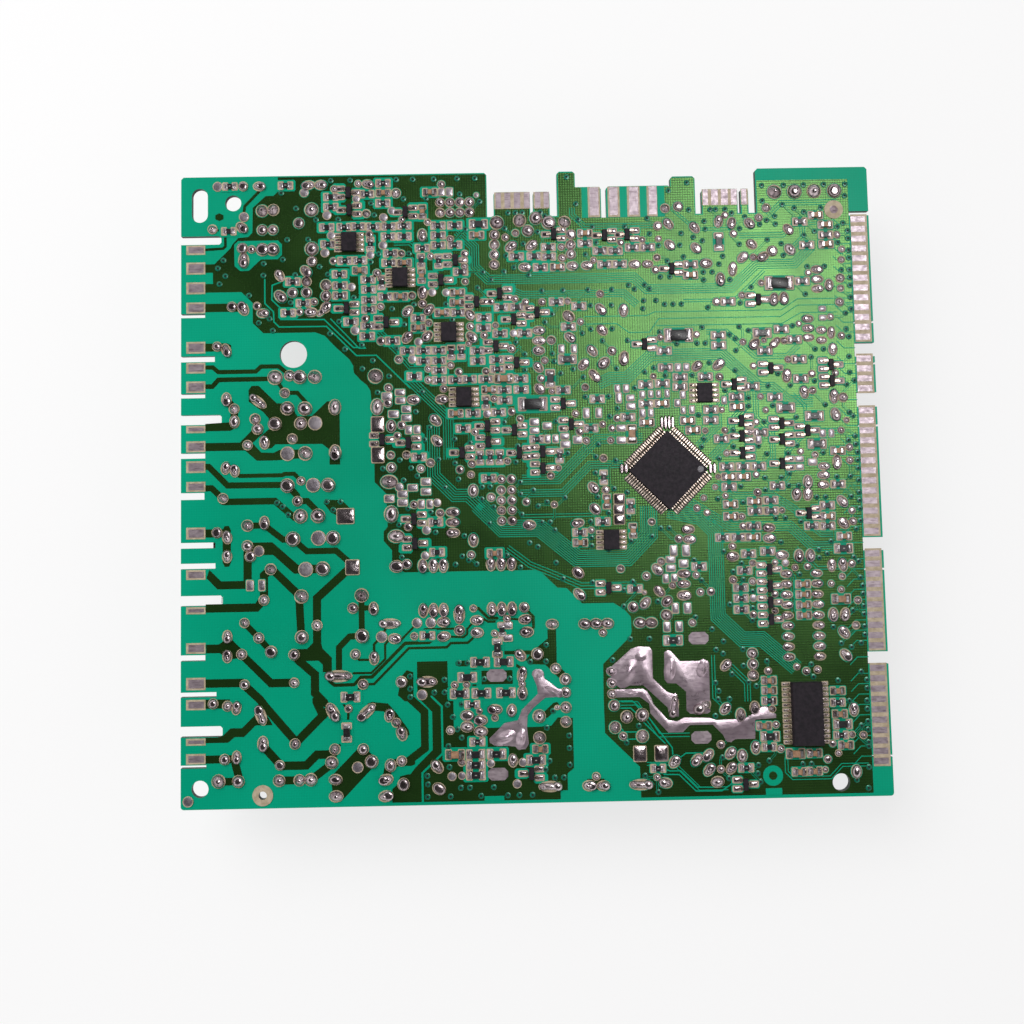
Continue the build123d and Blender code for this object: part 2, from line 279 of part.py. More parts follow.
LONG_JOINTS = [
    (19.7, 153.8, 3.1, 2.3, 0), (15.3, 143.3, 3.3, 2.4, -40), (15.7, 134.9, 3.9, 2.6, 90),
    (32, 153.9, 3.4, 2.2, 10), (35.2, 153.9, 3.2, 2.4, 0), (31.3, 131.9, 3.2, 2.4, -45),
    (47.1, 153.9, 3.1, 2.2, -10), (60.6, 140.6, 3.3, 2.3, 90), (82.9, 137.3, 3.4, 2.4, 40),
    (86.3, 132, 3.2, 2.2, 0), (88.1, 137.5, 3.4, 2.4, 40), (98.2, 132.1, 3, 2.3, 0),
    (101.9, 132.2, 3, 2.2, 0), (113.9, 132.3, 3, 2.3, 0), (122.7, 142.5, 3.1, 2.2, -50),
    (129.3, 141.4, 3.2, 2.2, -50), (122.9, 137.1, 3, 2.3, -40), (129.5, 136.2, 3, 2.3, -45),
    (135.4, 142.9, 3.1, 2.2, 80), (138.7, 142.4, 3.1, 2.2, 80), (143.2, 142.3, 3, 2.3, -45),
    (143.6, 136.9, 3, 2.3, -35), (117.2, 132.3, 2.8, 2, 0), (131.9, 132.2, 3.2, 2.4, 0),
    (141.2, 133.6, 3.2, 2.2, 45), (153, 140.6, 3.1, 2.2, -50), (153.2, 135.4, 3.1, 2.4, -45),
    (146.3, 133.7, 3.2, 2.2, 30), (15.5, 122.7, 3.7, 2.6, -60), (20.5, 121.4, 3.1, 2.2, 0),
    (11.3, 112.2, 3.4, 2.2, -70), (24.7, 130.9, 3.2, 2.2, -60), (24.9, 125.6, 3.5, 2.6, -45),
    (32.5, 121.5, 3.2, 2.3, 0), (36.2, 122.6, 3.2, 2.4, 50), (34.9, 121.3, 2.2, 1.4, 40),
    (56.7, 121.3, 3.2, 2.3, 45), (56.5, 114.7, 3.4, 2.4, 50), (60.5, 125.9, 3.4, 2.4, 90),
    (62, 121.6, 3.2, 2.3, 50), (61.5, 114.9, 3.2, 2.4, 45), (72.3, 120.1, 3, 2.4, -50),
    (72.6, 114.5, 3.3, 2.5, -45), (89.4, 115.9, 3.2, 2.1, 0), (89.4, 113.3, 3.3, 2.2, 0),
    (89.3, 110.8, 3.1, 2.3, 0), (97, 119.4, 3.2, 2.6, -40), (97.2, 114, 3.1, 2.3, -40),
    (105.1, 121, 3.3, 2.2, -50), (105.3, 115.7, 3.1, 2.3, -45), (110.8, 120.6, 3.3, 2.3, 90),
    (102.7, 110.5, 3.2, 2.2, -50), (100.4, 107.1, 3.3, 2.3, 50), (105.5, 107.4, 3.4, 2.6, 45),
    (110.6, 108.5, 3.7, 2.4, 85), (89.1, 106.6, 3, 2.2, -50), (103.1, 104.3, 3.6, 2.2, -50),
    (135.4, 128.1, 3.4, 2.3, 90), (138.6, 130.6, 3.6, 2.2, 85), (143.4, 111.6, 3.2, 2.4, 50),
    (128.8, 106.2, 3, 2.3, 45), (134.2, 106.5, 3.4, 2.3, 40), (148.6, 111.8, 3.3, 2, 45),
    (148.7, 122.8, 3.2, 2.3, 80), (151.2, 123, 3.2, 2.3, 90), (159.8, 130.2, 3, 2, 0),
    (159.8, 127.7, 3, 2, 0), (159.8, 125.3, 3, 2, 0), (162.7, 126.2, 3, 2.1, 90),
    (157, 117.7, 2.9, 1.9, 0), (157, 115.3, 2.9, 1.9, 0), (157, 112.9, 2.9, 1.9, 0),
    (160.3, 114.8, 2.5, 1.8, 0), (160.3, 112.2, 2.6, 1.8, 0), (162.8, 114.1, 3, 1.9, 90),
    (163, 109.9, 3, 2.1, 90), (11.3, 99.9, 3.4, 2.4, 90), (13.3, 94.3, 3.1, 2.4, 90),
    (19.1, 99.3, 5, 2.2, -38), (20.7, 89, 3.3, 2.4, -85), (11.1, 82.8, 3.1, 2.3, 80),
    (13.3, 82.1, 3.1, 2.3, -80), (38.2, 97.5, 3.9, 3, 90), (38.2, 86.2, 3.9, 2.9, 90),
    (52.2, 92.5, 3.1, 2.4, 90), (48.7, 97.4, 4, 3.1, 90), (57.8, 99, 3.3, 2.4, 0),
    (64.9, 99, 3.3, 2.4, 0), (63.2, 93.8, 3.4, 2.4, -45), (63.5, 88.6, 3.3, 2.4, -45),
    (89.3, 101.2, 3, 2.5, -45), (151.2, 103.4, 3.4, 2.3, 85), (155.4, 99.2, 3.2, 2.2, -80),
    (162.8, 98, 3.5, 2.2, 90), (163, 93.5, 3.3, 2.4, -75), (162.9, 81.6, 3.6, 2.2, 90),
    (159.6, 80.6, 2.9, 1.9, 0), (159.4, 78.4, 3, 2, 0), (11.4, 65.7, 3.2, 2.3, -80),
    (11.4, 61, 3.1, 2.3, 90), (20.6, 69.1, 3.3, 2.4, 90), (51.5, 78.7, 4.2, 3.3, 0),
    (51.9, 70.7, 4.1, 3.4, 90), (53.1, 65.2, 4, 3.1, 0), (53.1, 57.8, 3.5, 2.9, 0),
    (72.3, 76.1, 3.2, 2.5, 90), (72.1, 63.9, 3.3, 2.4, 90), (86, 67.4, 3.3, 2.4, 0),
    (67.1, 70.9, 3.4, 2.2, 0), (67.1, 68.4, 3.4, 2.2, 0), (67.1, 65.8, 3.4, 2.3, 0),
    (59.5, 57.8, 3.4, 2.3, 90), (62.1, 57.8, 3.4, 2.3, 90), (64.6, 57.8, 3.4, 2.3, 90),
    (76.3, 57.9, 3.3, 2.3, 90), (78.8, 57.9, 3.3, 2.3, 90), (81.4, 57.9, 3.3, 2.3, 90),
    (102.1, 76.3, 3.2, 2.4, -50), (102.4, 71, 3.1, 2.4, -45), (98, 67.6, 3.2, 2.1, 10),
    (97.8, 55.4, 3.2, 2.5, -45), (125.3, 65.6, 3.2, 2.2, 0), (125.5, 63.1, 3.2, 2.2, 0),
    (117.4, 55.9, 3.2, 2.4, -45), (123.9, 54.7, 3.3, 2.2, 0), (123.8, 52.2, 3.2, 2, 0),
    (136.1, 58.7, 3.2, 2.4, 0), (145.3, 65.6, 3.1, 2.2, 0), (145.3, 63, 3.1, 2.2, 0),
    (155.4, 76.8, 3.4, 2.4, 90), (152.5, 73.7, 3.2, 2.4, 90), (155.3, 73.7, 3.2, 2.4, 90),
    (159.3, 76, 2.9, 2, 0), (163.8, 71.8, 3.3, 2.3, -50), (163.9, 66.4, 3.2, 2.4, -45),
    (148.3, 58.8, 3.3, 2.3, 0), (152.5, 58.6, 3.2, 2.4, 90), (155.3, 58.6, 3.2, 2.4, 90),
    (160.5, 56.1, 3.2, 2.1, 90), (163.3, 56.2, 3.4, 2.2, -80), (149.2, 54.2, 2.9, 2, 0),
    (156.7, 54.2, 2.8, 1.8, 0), (11.4, 41.4, 3.2, 2.3, 90), (11.4, 36.7, 3.1, 2.3, 90),
    (47.3, 47.6, 3.2, 2.3, 90), (51.2, 43.9, 5.4, 2.3, 0), (52.4, 40.2, 3.2, 2.4, 0),
    (47.3, 35.6, 3.3, 2.3, 90), (59.5, 46.9, 3.4, 2.3, 90), (62, 46.9, 3.4, 2.3, 90),
    (64.5, 46.9, 3.4, 2.3, 90), (72.6, 44.3, 3.2, 2.3, 0), (72.6, 41.3, 3.2, 2.4, 0),
    (76.3, 46.9, 3.4, 2.3, 90), (78.8, 46.9, 3.4, 2.3, 90), (81.3, 46.9, 3.4, 2.3, 90),
    (84.5, 44.3, 3.2, 2.3, 10), (84.8, 41.2, 3.4, 2.5, 5), (64.4, 44, 3.2, 2.4, 0),
    (64.4, 40.5, 3.3, 2.3, 10), (83.1, 35.6, 3.2, 2.3, -45), (83.4, 30.9, 4, 2.2, 80),
    (83.4, 26.5, 3.4, 2.4, 90), (60.1, 29.6, 5.1, 2.6, 0), (91.1, 43, 3, 2.4, 0),
    (99.1, 42.9, 3, 2.5, 0), (101.9, 42.9, 3, 2.5, 0), (104.7, 42.9, 3, 2.5, 0),
    (112.7, 42.9, 3, 2.5, 0), (115.5, 42.9, 3, 2.5, 0), (98, 50.1, 3.4, 2.3, -45),
    (114.1, 47.7, 3.3, 2.3, 50), (117.7, 50.5, 3.2, 2.2, -45), (119.5, 48, 3, 2.4, 45),
    (123.8, 49.4, 3.5, 2.4, 0), (133.5, 32.2, 3.2, 2.3, 45), (149.1, 51.7, 2.9, 1.9, 0),
    (149.1, 49.1, 2.9, 1.9, 0), (149.1, 46.6, 2.9, 1.9, 0), (149.1, 44, 2.9, 1.9, 0),
    (149.1, 41.5, 2.9, 1.9, 0), (149.1, 38.9, 2.9, 1.9, 0), (149.1, 36.4, 2.9, 1.9, 0),
    (149.1, 33.9, 2.9, 1.9, 0), (156.7, 51.7, 2.9, 1.9, 0), (156.7, 49.1, 2.9, 1.9, 0),
    (156.7, 46.6, 2.9, 1.9, 0), (156.7, 44, 2.9, 1.9, 0), (156.7, 41.5, 2.9, 1.9, 0),
    (156.7, 38.9, 2.9, 1.9, 0), (156.7, 36.4, 2.9, 1.9, 0), (156.7, 33.9, 2.9, 1.9, 0),
    (160.4, 44, 3.4, 2.4, 90), (163.3, 44, 3.3, 2.4, 80), (162.9, 39.6, 3.4, 2.4, -50),
    (163.1, 34.1, 3.4, 2.4, -45), (13.6, 24.2, 3.3, 2.2, 80), (13.6, 12.3, 3.2, 2.2, 90),
    (20, 15.4, 3.8, 2.6, 90), (19.5, 22.3, 5, 2.5, -70), (37.1, 22.7, 4.9, 2.7, -60),
    (45.3, 22.6, 5.6, 2.4, 42), (50.9, 21.7, 3.2, 2.4, 80), (53.8, 17.3, 3.6, 2.5, -70),
    (37.6, 6.6, 3.2, 2.5, 0), (37.7, 2.6, 3.4, 2.7, 0), (51, 9.7, 3, 2.6, 90),
    (49.8, 6.3, 3.6, 2.6, 15), (49.8, 2.4, 3.6, 2.6, 10), (54.1, 5.1, 3, 2.8, 90),
    (69.8, 21.3, 3.2, 2.5, 0), (73.1, 20.1, 3.3, 2.5, 0), (69.8, 18.6, 3.2, 2.6, 0),
    (73.1, 17.4, 3.3, 2.6, 0), (76.6, 22.6, 3.6, 2.4, 0), (80.7, 22.3, 3, 2.3, 80),
    (80.8, 10.3, 3.2, 2.3, 90), (62.3, 9.2, 3.6, 2.6, -50), (62.7, 3.9, 3.3, 2.7, -30),
    (91.9, 22.8, 1.4, 1, 0), (89.8, 3.9, 5.8, 2.5, 0), (99.3, 3.9, 3.4, 2.5, 0),
    (102.7, 3.8, 3.2, 2.4, 0), (111.9, 3.9, 5.8, 2.5, 0), (127.3, 22.2, 4.6, 3, 30),
    (120.4, 22.5, 5.4, 2.2, 80), (133, 21.7, 3.2, 2.3, 50), (136.7, 20.1, 3.3, 2.4, 90),
    (140.2, 21.8, 3.2, 2.4, 90), (133.9, 11, 3.2, 2.3, 50), (136.7, 10.3, 3.1, 2.4, 90),
    (140.1, 12.2, 3.2, 2.3, 90), (120.2, 9.2, 3.3, 2.4, 50), (125.6, 9.5, 3.4, 2.3, 50),
    (128.4, 10.6, 3.4, 2.2, 50), (128.6, 7.1, 3.4, 2.3, 50), (134, 7.4, 3.2, 2.3, 50),
    (117.8, 4.2, 3.3, 2.4, -10), (130.5, 4.2, 3.2, 2.6, 10), (164.5, 20.9, 3.3, 2.3, 90),
    (164.5, 6, 3.2, 2.5, 90),
]
# relay and inductor terminals with square lumps of solder: x, y, width, height
LUMPS = [
    (48.8, 93.0, 3.1, 3.8), (48.8, 85.4, 3.1, 3.9), (40.6, 70.4, 4.2, 3.7), (42.2, 57.8, 3.3, 3.6),
    (108.4, 73.4, 2.6, 2.5), (108.3, 70.8, 2.6, 2.4), (108.3, 68.3, 2.6, 2.4),
    (111.8, 11.3, 3.1, 3.7), (117.0, 11.3, 3.2, 3.7),
]
# flat pads of the heat sinks' lugs
LUG_PADS = [(77.1, 7.1), (77.2, 30.8), (126.9, 14.9), (127.0, 38.9)]
LUG_PAD = (4.9, 3.0)
# tinned current paths, as outlines
TINNED = [
    [(75.0, 14.9), (75.4, 13.8), (84.4, 13.2), (84.6, 21.5), (90.2, 26.3), (88.6, 27.9),
     (83.0, 22.4), (82.4, 19.4), (78.8, 19.3)],
    [(112.6, 36.9), (115.4, 36.9), (115.4, 29.2), (119.0, 25.5), (115.9, 22.4), (115.4, 24.2),
     (112.6, 27.0)],
    [(123.4, 24.8), (129.2, 24.8), (129.2, 33.2), (122.3, 33.2), (120.2, 36.0), (118.3, 36.0),
     (118.4, 29.4), (123.4, 25.9)],
    [(114.8, 20.9), (119.0, 16.4), (122.0, 16.2), (124.3, 18.0), (129.8, 18.0), (132.6, 15.3),
     (133.0, 13.9), (135.0, 13.7), (140.1, 14.3), (140.1, 18.2), (122.8, 19.4), (117.8, 20.0),
     (115.9, 21.6)],
]

# the board's size follows from the outermost parts
BOARD_W = max(x + d / 2 for x, _, d in TEST_EYELETS) + RIGHT_CLEAR + RIGHT_STRIP
BOARD_H = max(y for _, y in RESISTORS_X) + TOP_CLEAR
GAP_FLOOR = BOARD_H - TOP_GAPS

TOP_Z = PARTS_H + BOARD_T     # solder face
LOW_Z = PARTS_H               # component face


def at(x, y, z=0.0):
    """A place on the board, from its lower left corner, in the centred frame."""
    return Location((x - BOARD_W / 2, y - BOARD_H / 2, z))


def plate(outline, z, thickness):
    """A flat plate from a sketch drawn from the lower left corner."""
    return extrude(outline, amount=thickness).moved(at(0, 0, z))


def brick(x, y, z, length, width, height, turn=0.0):
    """A block standing on z, centred on x and y."""
    block = Solid.make_box(length, width, height).moved(Location((-length / 2, -width / 2, 0)))
    return block.moved(at(x, y, z) * Rotation(0, 0, turn))


def hung(x, y, length, width, height, drop=0.0, turn=0.0):
    """A block on the component side: its top lies drop below the board."""
    return brick(x, y, LOW_Z - drop - height, length, width, height, turn)


def rectangle(x0, y0, x1, y1):
    """A rectangle between two corners."""
    return Pos((x0 + x1) / 2, (y0 + y1) / 2) * Rectangle(x1 - x0, y1 - y0)


def land(start, end, drop):
    """One land of the top edge, with its outer corners cut."""
    height = BOARD_H - drop
    cut = min(LAND_CHAMFER, (end - start) / 4)
    points = [(start, GAP_FLOOR), (end, GAP_FLOOR), (end, height - cut), (end - cut, height),
              (start + cut, height), (start, height - cut)]
    return make_face(Polyline(*points, close=True))


def edge_slot(low, high, length, from_right=False):
    """A slot cut in from the left or right edge; wide ones have their inner corners cut."""
    shape = rectangle(-1.0, low, length, high)
    if high - low > WIDE_SLOT:
        shape = chamfer(shape.vertices().sort_by(Axis.X)[-2:], SLOT_CORNER)
    if from_right:
        shape = mirror(shape, Plane.YZ).moved(Location((BOARD_W, 0, 0)))
    return shape


def board_outline():
    """The board's outline with every slot, notch and hole."""
    field = rectangle(0, 0, BOARD_W, GAP_FLOOR)
    outline = fillet(field.vertices().group_by(Axis.Y)[0], CORNER_R)
    for start, end, drop in TOP_LANDS + [(LAST_LAND, BOARD_W, 0.0)]:
        outline += land(start, end, drop)
    start, end, depth = KEY_SLOT
    outline -= rectangle(start, GAP_FLOOR - depth, end, GAP_FLOOR + depth)
    low, high, length = TOP_BLOCK_SLOT
    outline -= edge_slot(low, high, length, from_right=True)
    for low, high, length in LEFT_SLOTS:
        outline -= edge_slot(low, high, length)
    for low, high in RIGHT_SLOTS + RIGHT_NOTCHES:
        outline -= edge_slot(low, high, RIGHT_CUT, from_right=True)
    for x, y, radius in HOLES.values():
        outline -= Pos(x, y) * Circle(radius)
    x, y, width, length = OBROUND
    outline -= Pos(x, y) * Rot(0, 0, 90) * SlotOverall(length, width)
    for x, y, _ in TEST_EYELETS:
        outline -= Pos(x, y) * RegularPolygon(EYELET_HOLE_R, RING_SIDES)
    return outline


def contact(x0, y0, x1, y1):
    return brick((x0 + x1) / 2, (y0 + y1) / 2, TOP_Z, x1 - x0, y1 - y0, COPPER_T)


def left_contacts():
    start, length = LEFT_PAD
    return [contact(start, low, start + length, high) for low, high in LEFT_PADS]


def right_contacts():
    gap, length, width = RIGHT_PAD
    pads = []
    for lowest, count in RIGHT_GROUPS:
        for i in range(round(count)):
            y = lowest + i * PAD_PITCH
            pads.append(contact(BOARD_W - gap - length, y - width / 2, BOARD_W - gap, y + width / 2))
    return pads


def top_contacts():
    """Contacts that end a little short of their tongue or land."""
    pads = []
    rows = [(TOP_PADS, TONGUE_DROP, TOP_PAD), (WIDE_PADS, WIDE_DROP, WIDE_PAD)]
    for places, drop, (gap, length) in rows:
        high = BOARD_H - drop - gap
        pads += [contact(start, high - length, end, high) for start, end in places]
    return pads


def eyelets():
    """Bare rings round the two test holes."""
    rings = []
    for x, y, diameter in TEST_EYELETS:
        ring = RegularPolygon(diameter / 2, RING_SIDES) - RegularPolygon(EYELET_HOLE_R, RING_SIDES)
        rings.append(plate(Pos(x, y) * ring, TOP_Z, COPPER_T))
    return rings


def lug_pads():
    """Long flat pads where the heat sinks' lugs are soldered."""
    length, width = LUG_PAD
    pads = []
    for x, y in LUG_PADS:
        outline = Rectangle(length, width)
        outline = chamfer(outline.vertices(), width * 0.29)
        pads.append(plate(Pos(x, y) * outline, TOP_Z, COPPER_T * 2))
    return pads


def tinning():
    """Thick solder over the wide current paths."""
    return [plate(make_face(Polyline(*path, close=True)), TOP_Z, TIN_T) for path in TINNED]


def chips(places, size, upright=False):
    """One block for each chip, its length along x, or along y when upright."""
    length, width, height = size
    if upright:
        length, width = width, length
    return [brick(x, y, TOP_Z, length, width, height) for x, y, *_ in places]


def joints(places):
    """Solder joints, each as long and wide as its pad and half as high as it is wide."""
    made = {}
    solids = []
    for x, y, length, width, angle in places:
        size = (length, width)
        if size not in made:
            ring = [(length / 2, 0), (0, width / 2), (-length / 2, 0), (0, -width / 2)]
            base = Wire.make_polygon([Vector(*corner) for corner in ring])
            made[size] = Solid.make_loft([base, Vertex(0, 0, width * JOINT_RATIO)])
        solids.append(made[size].moved(at(x, y, TOP_Z) * Rotation(0, 0, angle)))
    return solids


def gull_leads(x, y, turn, offsets, side_reach, length, width):
    """A row of flat leads beside a body's side, standing on their pads."""
    leads = []
    for offset in offsets:
        lead = Solid.make_box(length, width, LEAD_T)
        lead = lead.moved(Location((side_reach, offset - width / 2, 0)))
        leads.append(lead.moved(at(x, y, TOP_Z) * Rotation(0, 0, turn)))
    return leads


def rows_of(count, pitch):
    """Offsets of a centred row."""
    count = round(count)
    return [(i - (count - 1) / 2) * pitch for i in range(count)]


def small_outline(x, y, size, count, lead_l=SO_LEAD_L):
    """A two-sided package: its body and both rows of leads."""
    width, length, height = size
    body = brick(x, y, TOP_Z, width, length, height)
    leads = []
    for turn in (0, 180):
        leads += gull_leads(x, y, turn, rows_of(count, SO_PITCH), width / 2, lead_l, LEAD_W)
    return body, leads


def quad_flat():
    """The processor: a square body with leads on four sides, turned on the board."""
    x, y = QFP_AT
    body = brick(x, y, TOP_Z, QFP_SIDE, QFP_SIDE, QFP_H, QFP_TURN)
    body = chamfer(body.edges().group_by(Axis.Z)[-1], 0.4)
    leads = []
    for quarter in range(4):
        turn = QFP_TURN + 90 * quarter
        leads += gull_leads(x, y, turn, rows_of(QFP_LEADS, QFP_PITCH), QFP_SIDE / 2, *QFP_LEAD)
    return [body], leads


def relay(x, y, size):
    """A sealed relay: case with bevelled edges on a wider foot."""
    length, width, height = size
    foot = hung(x, y, length, width, 1.2)
    case = hung(x, y, length - 0.4, width - 0.4, height - 1.2, drop=1.2)
    case = chamfer(case.edges().group_by(Axis.Z)[0], 0.5)
    return foot.fuse(case)


def can(x, y, diameter, height):
    """An electrolytic capacitor standing on the board."""
    body = extrude(RegularPolygon(diameter / 2, CAN_SIDES), amount=height)
    return body.solid().moved(at(x, y, LOW_Z - height))


def barrel(diameter, length, sides, start=0.0):
    """A round body with flats, lying along y from start."""
    face = Plane.XZ.offset(-start) * RegularPolygon(diameter / 2, sides)
    return extrude(face, amount=-length).solid()


def disc(x, y, diameter, thick, turn=0.0):
    """A disc part on edge, on two straight leads."""
    body = barrel(diameter, thick, BARREL_SIDES, start=-thick / 2)
    return body.moved(at(x, y, LOW_Z - SEAT - diameter / 2) * Rotation(0, 0, turn))


def axial(x0, y0, x1, y1):
    """A part lying along the board between two pins, with its leads bent down to them."""
    start, end = Vector(x0, y0), Vector(x1, y1)
    span = (end - start).length
    turn = (end - start).get_signed_angle(Vector(1, 0)) * -1
    length, diameter = AXIAL_BODY
    depth = SEAT + diameter / 2
    body = barrel(diameter, length, SMALL_SIDES, start=-length / 2)
    body = body.moved(Location((0, 0, -depth)) * Rotation(0, 0, -90))
    leads = []
    for side in (-1, 1):
        near, far = side * length / 2, side * span / 2
        bend = [(near, -depth), (far, -depth), (far, 0), (far - side * LEAD_D, 0),
                (far - side * LEAD_D, -depth + LEAD_D), (near, -depth + LEAD_D)]
        face = Plane.XZ * make_face(Polyline(*bend, close=True))
        leads.append(extrude(face, amount=LEAD_D / 2, both=True).solid())
    centre = (start + end) * 0.5
    return [part.moved(at(centre.X, centre.Y, LOW_Z) * Rotation(0, 0, turn)) for part in [body] + leads]


def small_transistor(x, y):
    """A three-lead transistor: a body with one flat side on three stubs."""
    radius, flat_at, height, stub = TO92
    shape = RegularPolygon(radius, SMALL_SIDES) & rectangle(-flat_at, -radius, radius, radius)
    body = extrude(shape, amount=height).solid().moved(at(x, y, LOW_Z - stub - height))
    return [body] + [hung(x, y + offset, LEAD_D, LEAD_D, stub) for offset in rows_of(3, TO92_PITCH)]


def dual_in_line(x, y, size, rows, count, turn=0.0):
    """A leaded package on two rows of pins."""
    length, width, height = size
    body = hung(x, y, length, width, height, drop=SEAT, turn=turn)
    leads = []
    for offset in rows_of(count, DIP_PITCH):
        for side in (-1, 1):
            blade = Solid.make_box(0.6, (rows - width) / 2, 2.6)
            low = width / 2 if side > 0 else -rows / 2
            blade = blade.moved(Location((offset - 0.3, low, -2.6)))
            leads.append(blade.moved(at(x, y, LOW_Z) * Rotation(0, 0, turn)))
    return body, leads


def header(x, y, columns, rows):
    """A pin header: an insulator block and square pins."""
    block = hung(x, y, columns * 2.54, rows * 2.54, 2.5)
    pins = []
    for dx in rows_of(columns, 2.54):
        for dy in rows_of(rows, 2.54):
            pins.append(hung(x + dx, y + dy, 0.64, 0.64, HEADER_H - 2.5, drop=2.5))
    return block, pins


def terminal():
    """A row connector: pins on an open base with a locking wall along one side."""
    x, y = TERMINAL_AT
    length, width, height = TERMINAL
    floor_t, wall_t = TERMINAL_BASE
    body = hung(x, y, length, width, floor_t)
    body = body.fuse(hung(x, y - (width - wall_t) / 2, length, wall_t, height))
    pins = []
    for dx in rows_of(TERMINAL_WAYS, TERMINAL_PITCH):
        pins.append(hung(x + dx, y, 1.0, 1.0, height - floor_t, drop=floor_t))
    return body, pins


def fuse():
    """A cartridge fuse lying in two spring clips."""
    x, y = FUSE_AT
    length, diameter = FUSE
    z = LOW_Z - FUSE_HEIGHT
    cap = 5.0
    inner = length - 2 * cap
    glass = barrel(diameter - 0.4, inner, BARREL_SIDES, start=-inner / 2).moved(at(x, y, z))
    caps = [barrel(diameter, cap, BARREL_SIDES, start=start).moved(at(x, y, z))
            for start in (-length / 2, inner / 2)]
    clips = []
    for side in (-1, 1):
        cy = y + side * (length / 2 - cap / 2)
        clip = hung(x, cy, diameter + 1.2, 4.0, FUSE_HEIGHT)
        clip -= hung(x, cy, diameter, 4.0, FUSE_HEIGHT - 0.6, drop=0.6)
        clips.append((clip - caps[0] - caps[1]).solid())
    return glass, caps, clips


def choke():
    """A common-mode choke: a closed ferrite core with one winding on each long leg."""
    x, y = CHOKE_AT
    length, width, core_t = CHOKE
    base_t = 2.0
    base = hung(x, y, length, width, base_t)
    core_h = PARTS_H - base_t
    core = hung(x, y, length, core_t, core_h, drop=base_t)
    window = hung(x, y, length - 2 * core_t, core_t, core_h - 2 * core_t, drop=base_t + core_t)
    core = (core - window).solid()
    windings = []
    for side in (-1, 1):
        cx = x + side * (length - core_t) / 2
        coil = extrude(RegularPolygon(core_t, BARREL_SIDES), amount=core_h - 2 * core_t)
        coil = coil.moved(at(cx, y, LOW_Z - PARTS_H + core_t))
        windings.append((coil - core).solid())
    return base, core, windings


def transformer():
    """The supply transformer: bobbin with two pin rails, winding and ferrite frame."""
    x, y = XFMR_AT
    width, length = XFMR
    inset, clear = XFMR_GAP
    rails = [hung(x + side * (width - XFMR_RAIL) / 2, y, XFMR_RAIL, length, XFMR_RAIL)
             for side in (-1, 1)]
    core_h = PARTS_H - XFMR_RAIL
    frame = hung(x, y, width, length, core_h, drop=XFMR_RAIL)
    open_l, open_h, top = length - 2 * (XFMR_LEG + clear), core_h - 2 * XFMR_LEG, XFMR_RAIL + XFMR_LEG
    window = hung(x, y, width, open_l, open_h, drop=top)
    frame = (frame - window).solid()
    winding = hung(x, y, width - inset, open_l - 2 * clear, open_h, drop=top)
    return rails, frame, winding


def heat_sink(x, y):
    """An extruded heat sink standing on edge: a plate with fins on its far side."""
    plate_t, length = SINK
    fin_t, depth, count = SINK_FIN
    face = plate_t / 2
    profile = rectangle(-face, -length / 2, face, length / 2)
    for offset in rows_of(count, (length - fin_t) / (count - 1)):
        profile += rectangle(face, offset - fin_t / 2, face + depth, offset + fin_t / 2)
    body = extrude(profile, amount=PARTS_H).solid()
    return body.moved(at(x, y, 0))


def power_transistor(x, y, turn=0.0):
    """A tab package standing on three leads; its tab's back lies on the local YZ plane."""
    width, height, tab_t = TAB
    body_h, body_t = TO220_BODY
    lead_w, lead_t, lead_l = TO220_LEAD
    hole_r, hole_at = TAB_HOLE
    hang = (Align.MIN, Align.CENTER, Align.MAX)
    outline = rectangle(-width / 2, -lead_l - height, width / 2, -lead_l)
    outline -= Pos(0, hole_at - lead_l - height) * RegularPolygon(hole_r, SMALL_SIDES)
    tab = extrude(Plane.YZ * outline, amount=tab_t)
    body = Box(body_t, width, body_h, align=hang).moved(Location((tab_t, 0, -lead_l)))
    parts = [tab.solid(), body.solid()]
    for offset in rows_of(3, TO220_PITCH):
        lead = Box(lead_t, lead_w, lead_l, align=hang)
        parts.append(lead.moved(Location((tab_t + lead_t, offset, 0))).solid())
    return [part.moved(at(x, y, LOW_Z) * Rotation(0, 0, turn)) for part in parts]


def flat(things):
    """Every solid in a list that may hold compounds."""
    solids = []
    for thing in things:
        solids += list(thing.solids())
    return solids


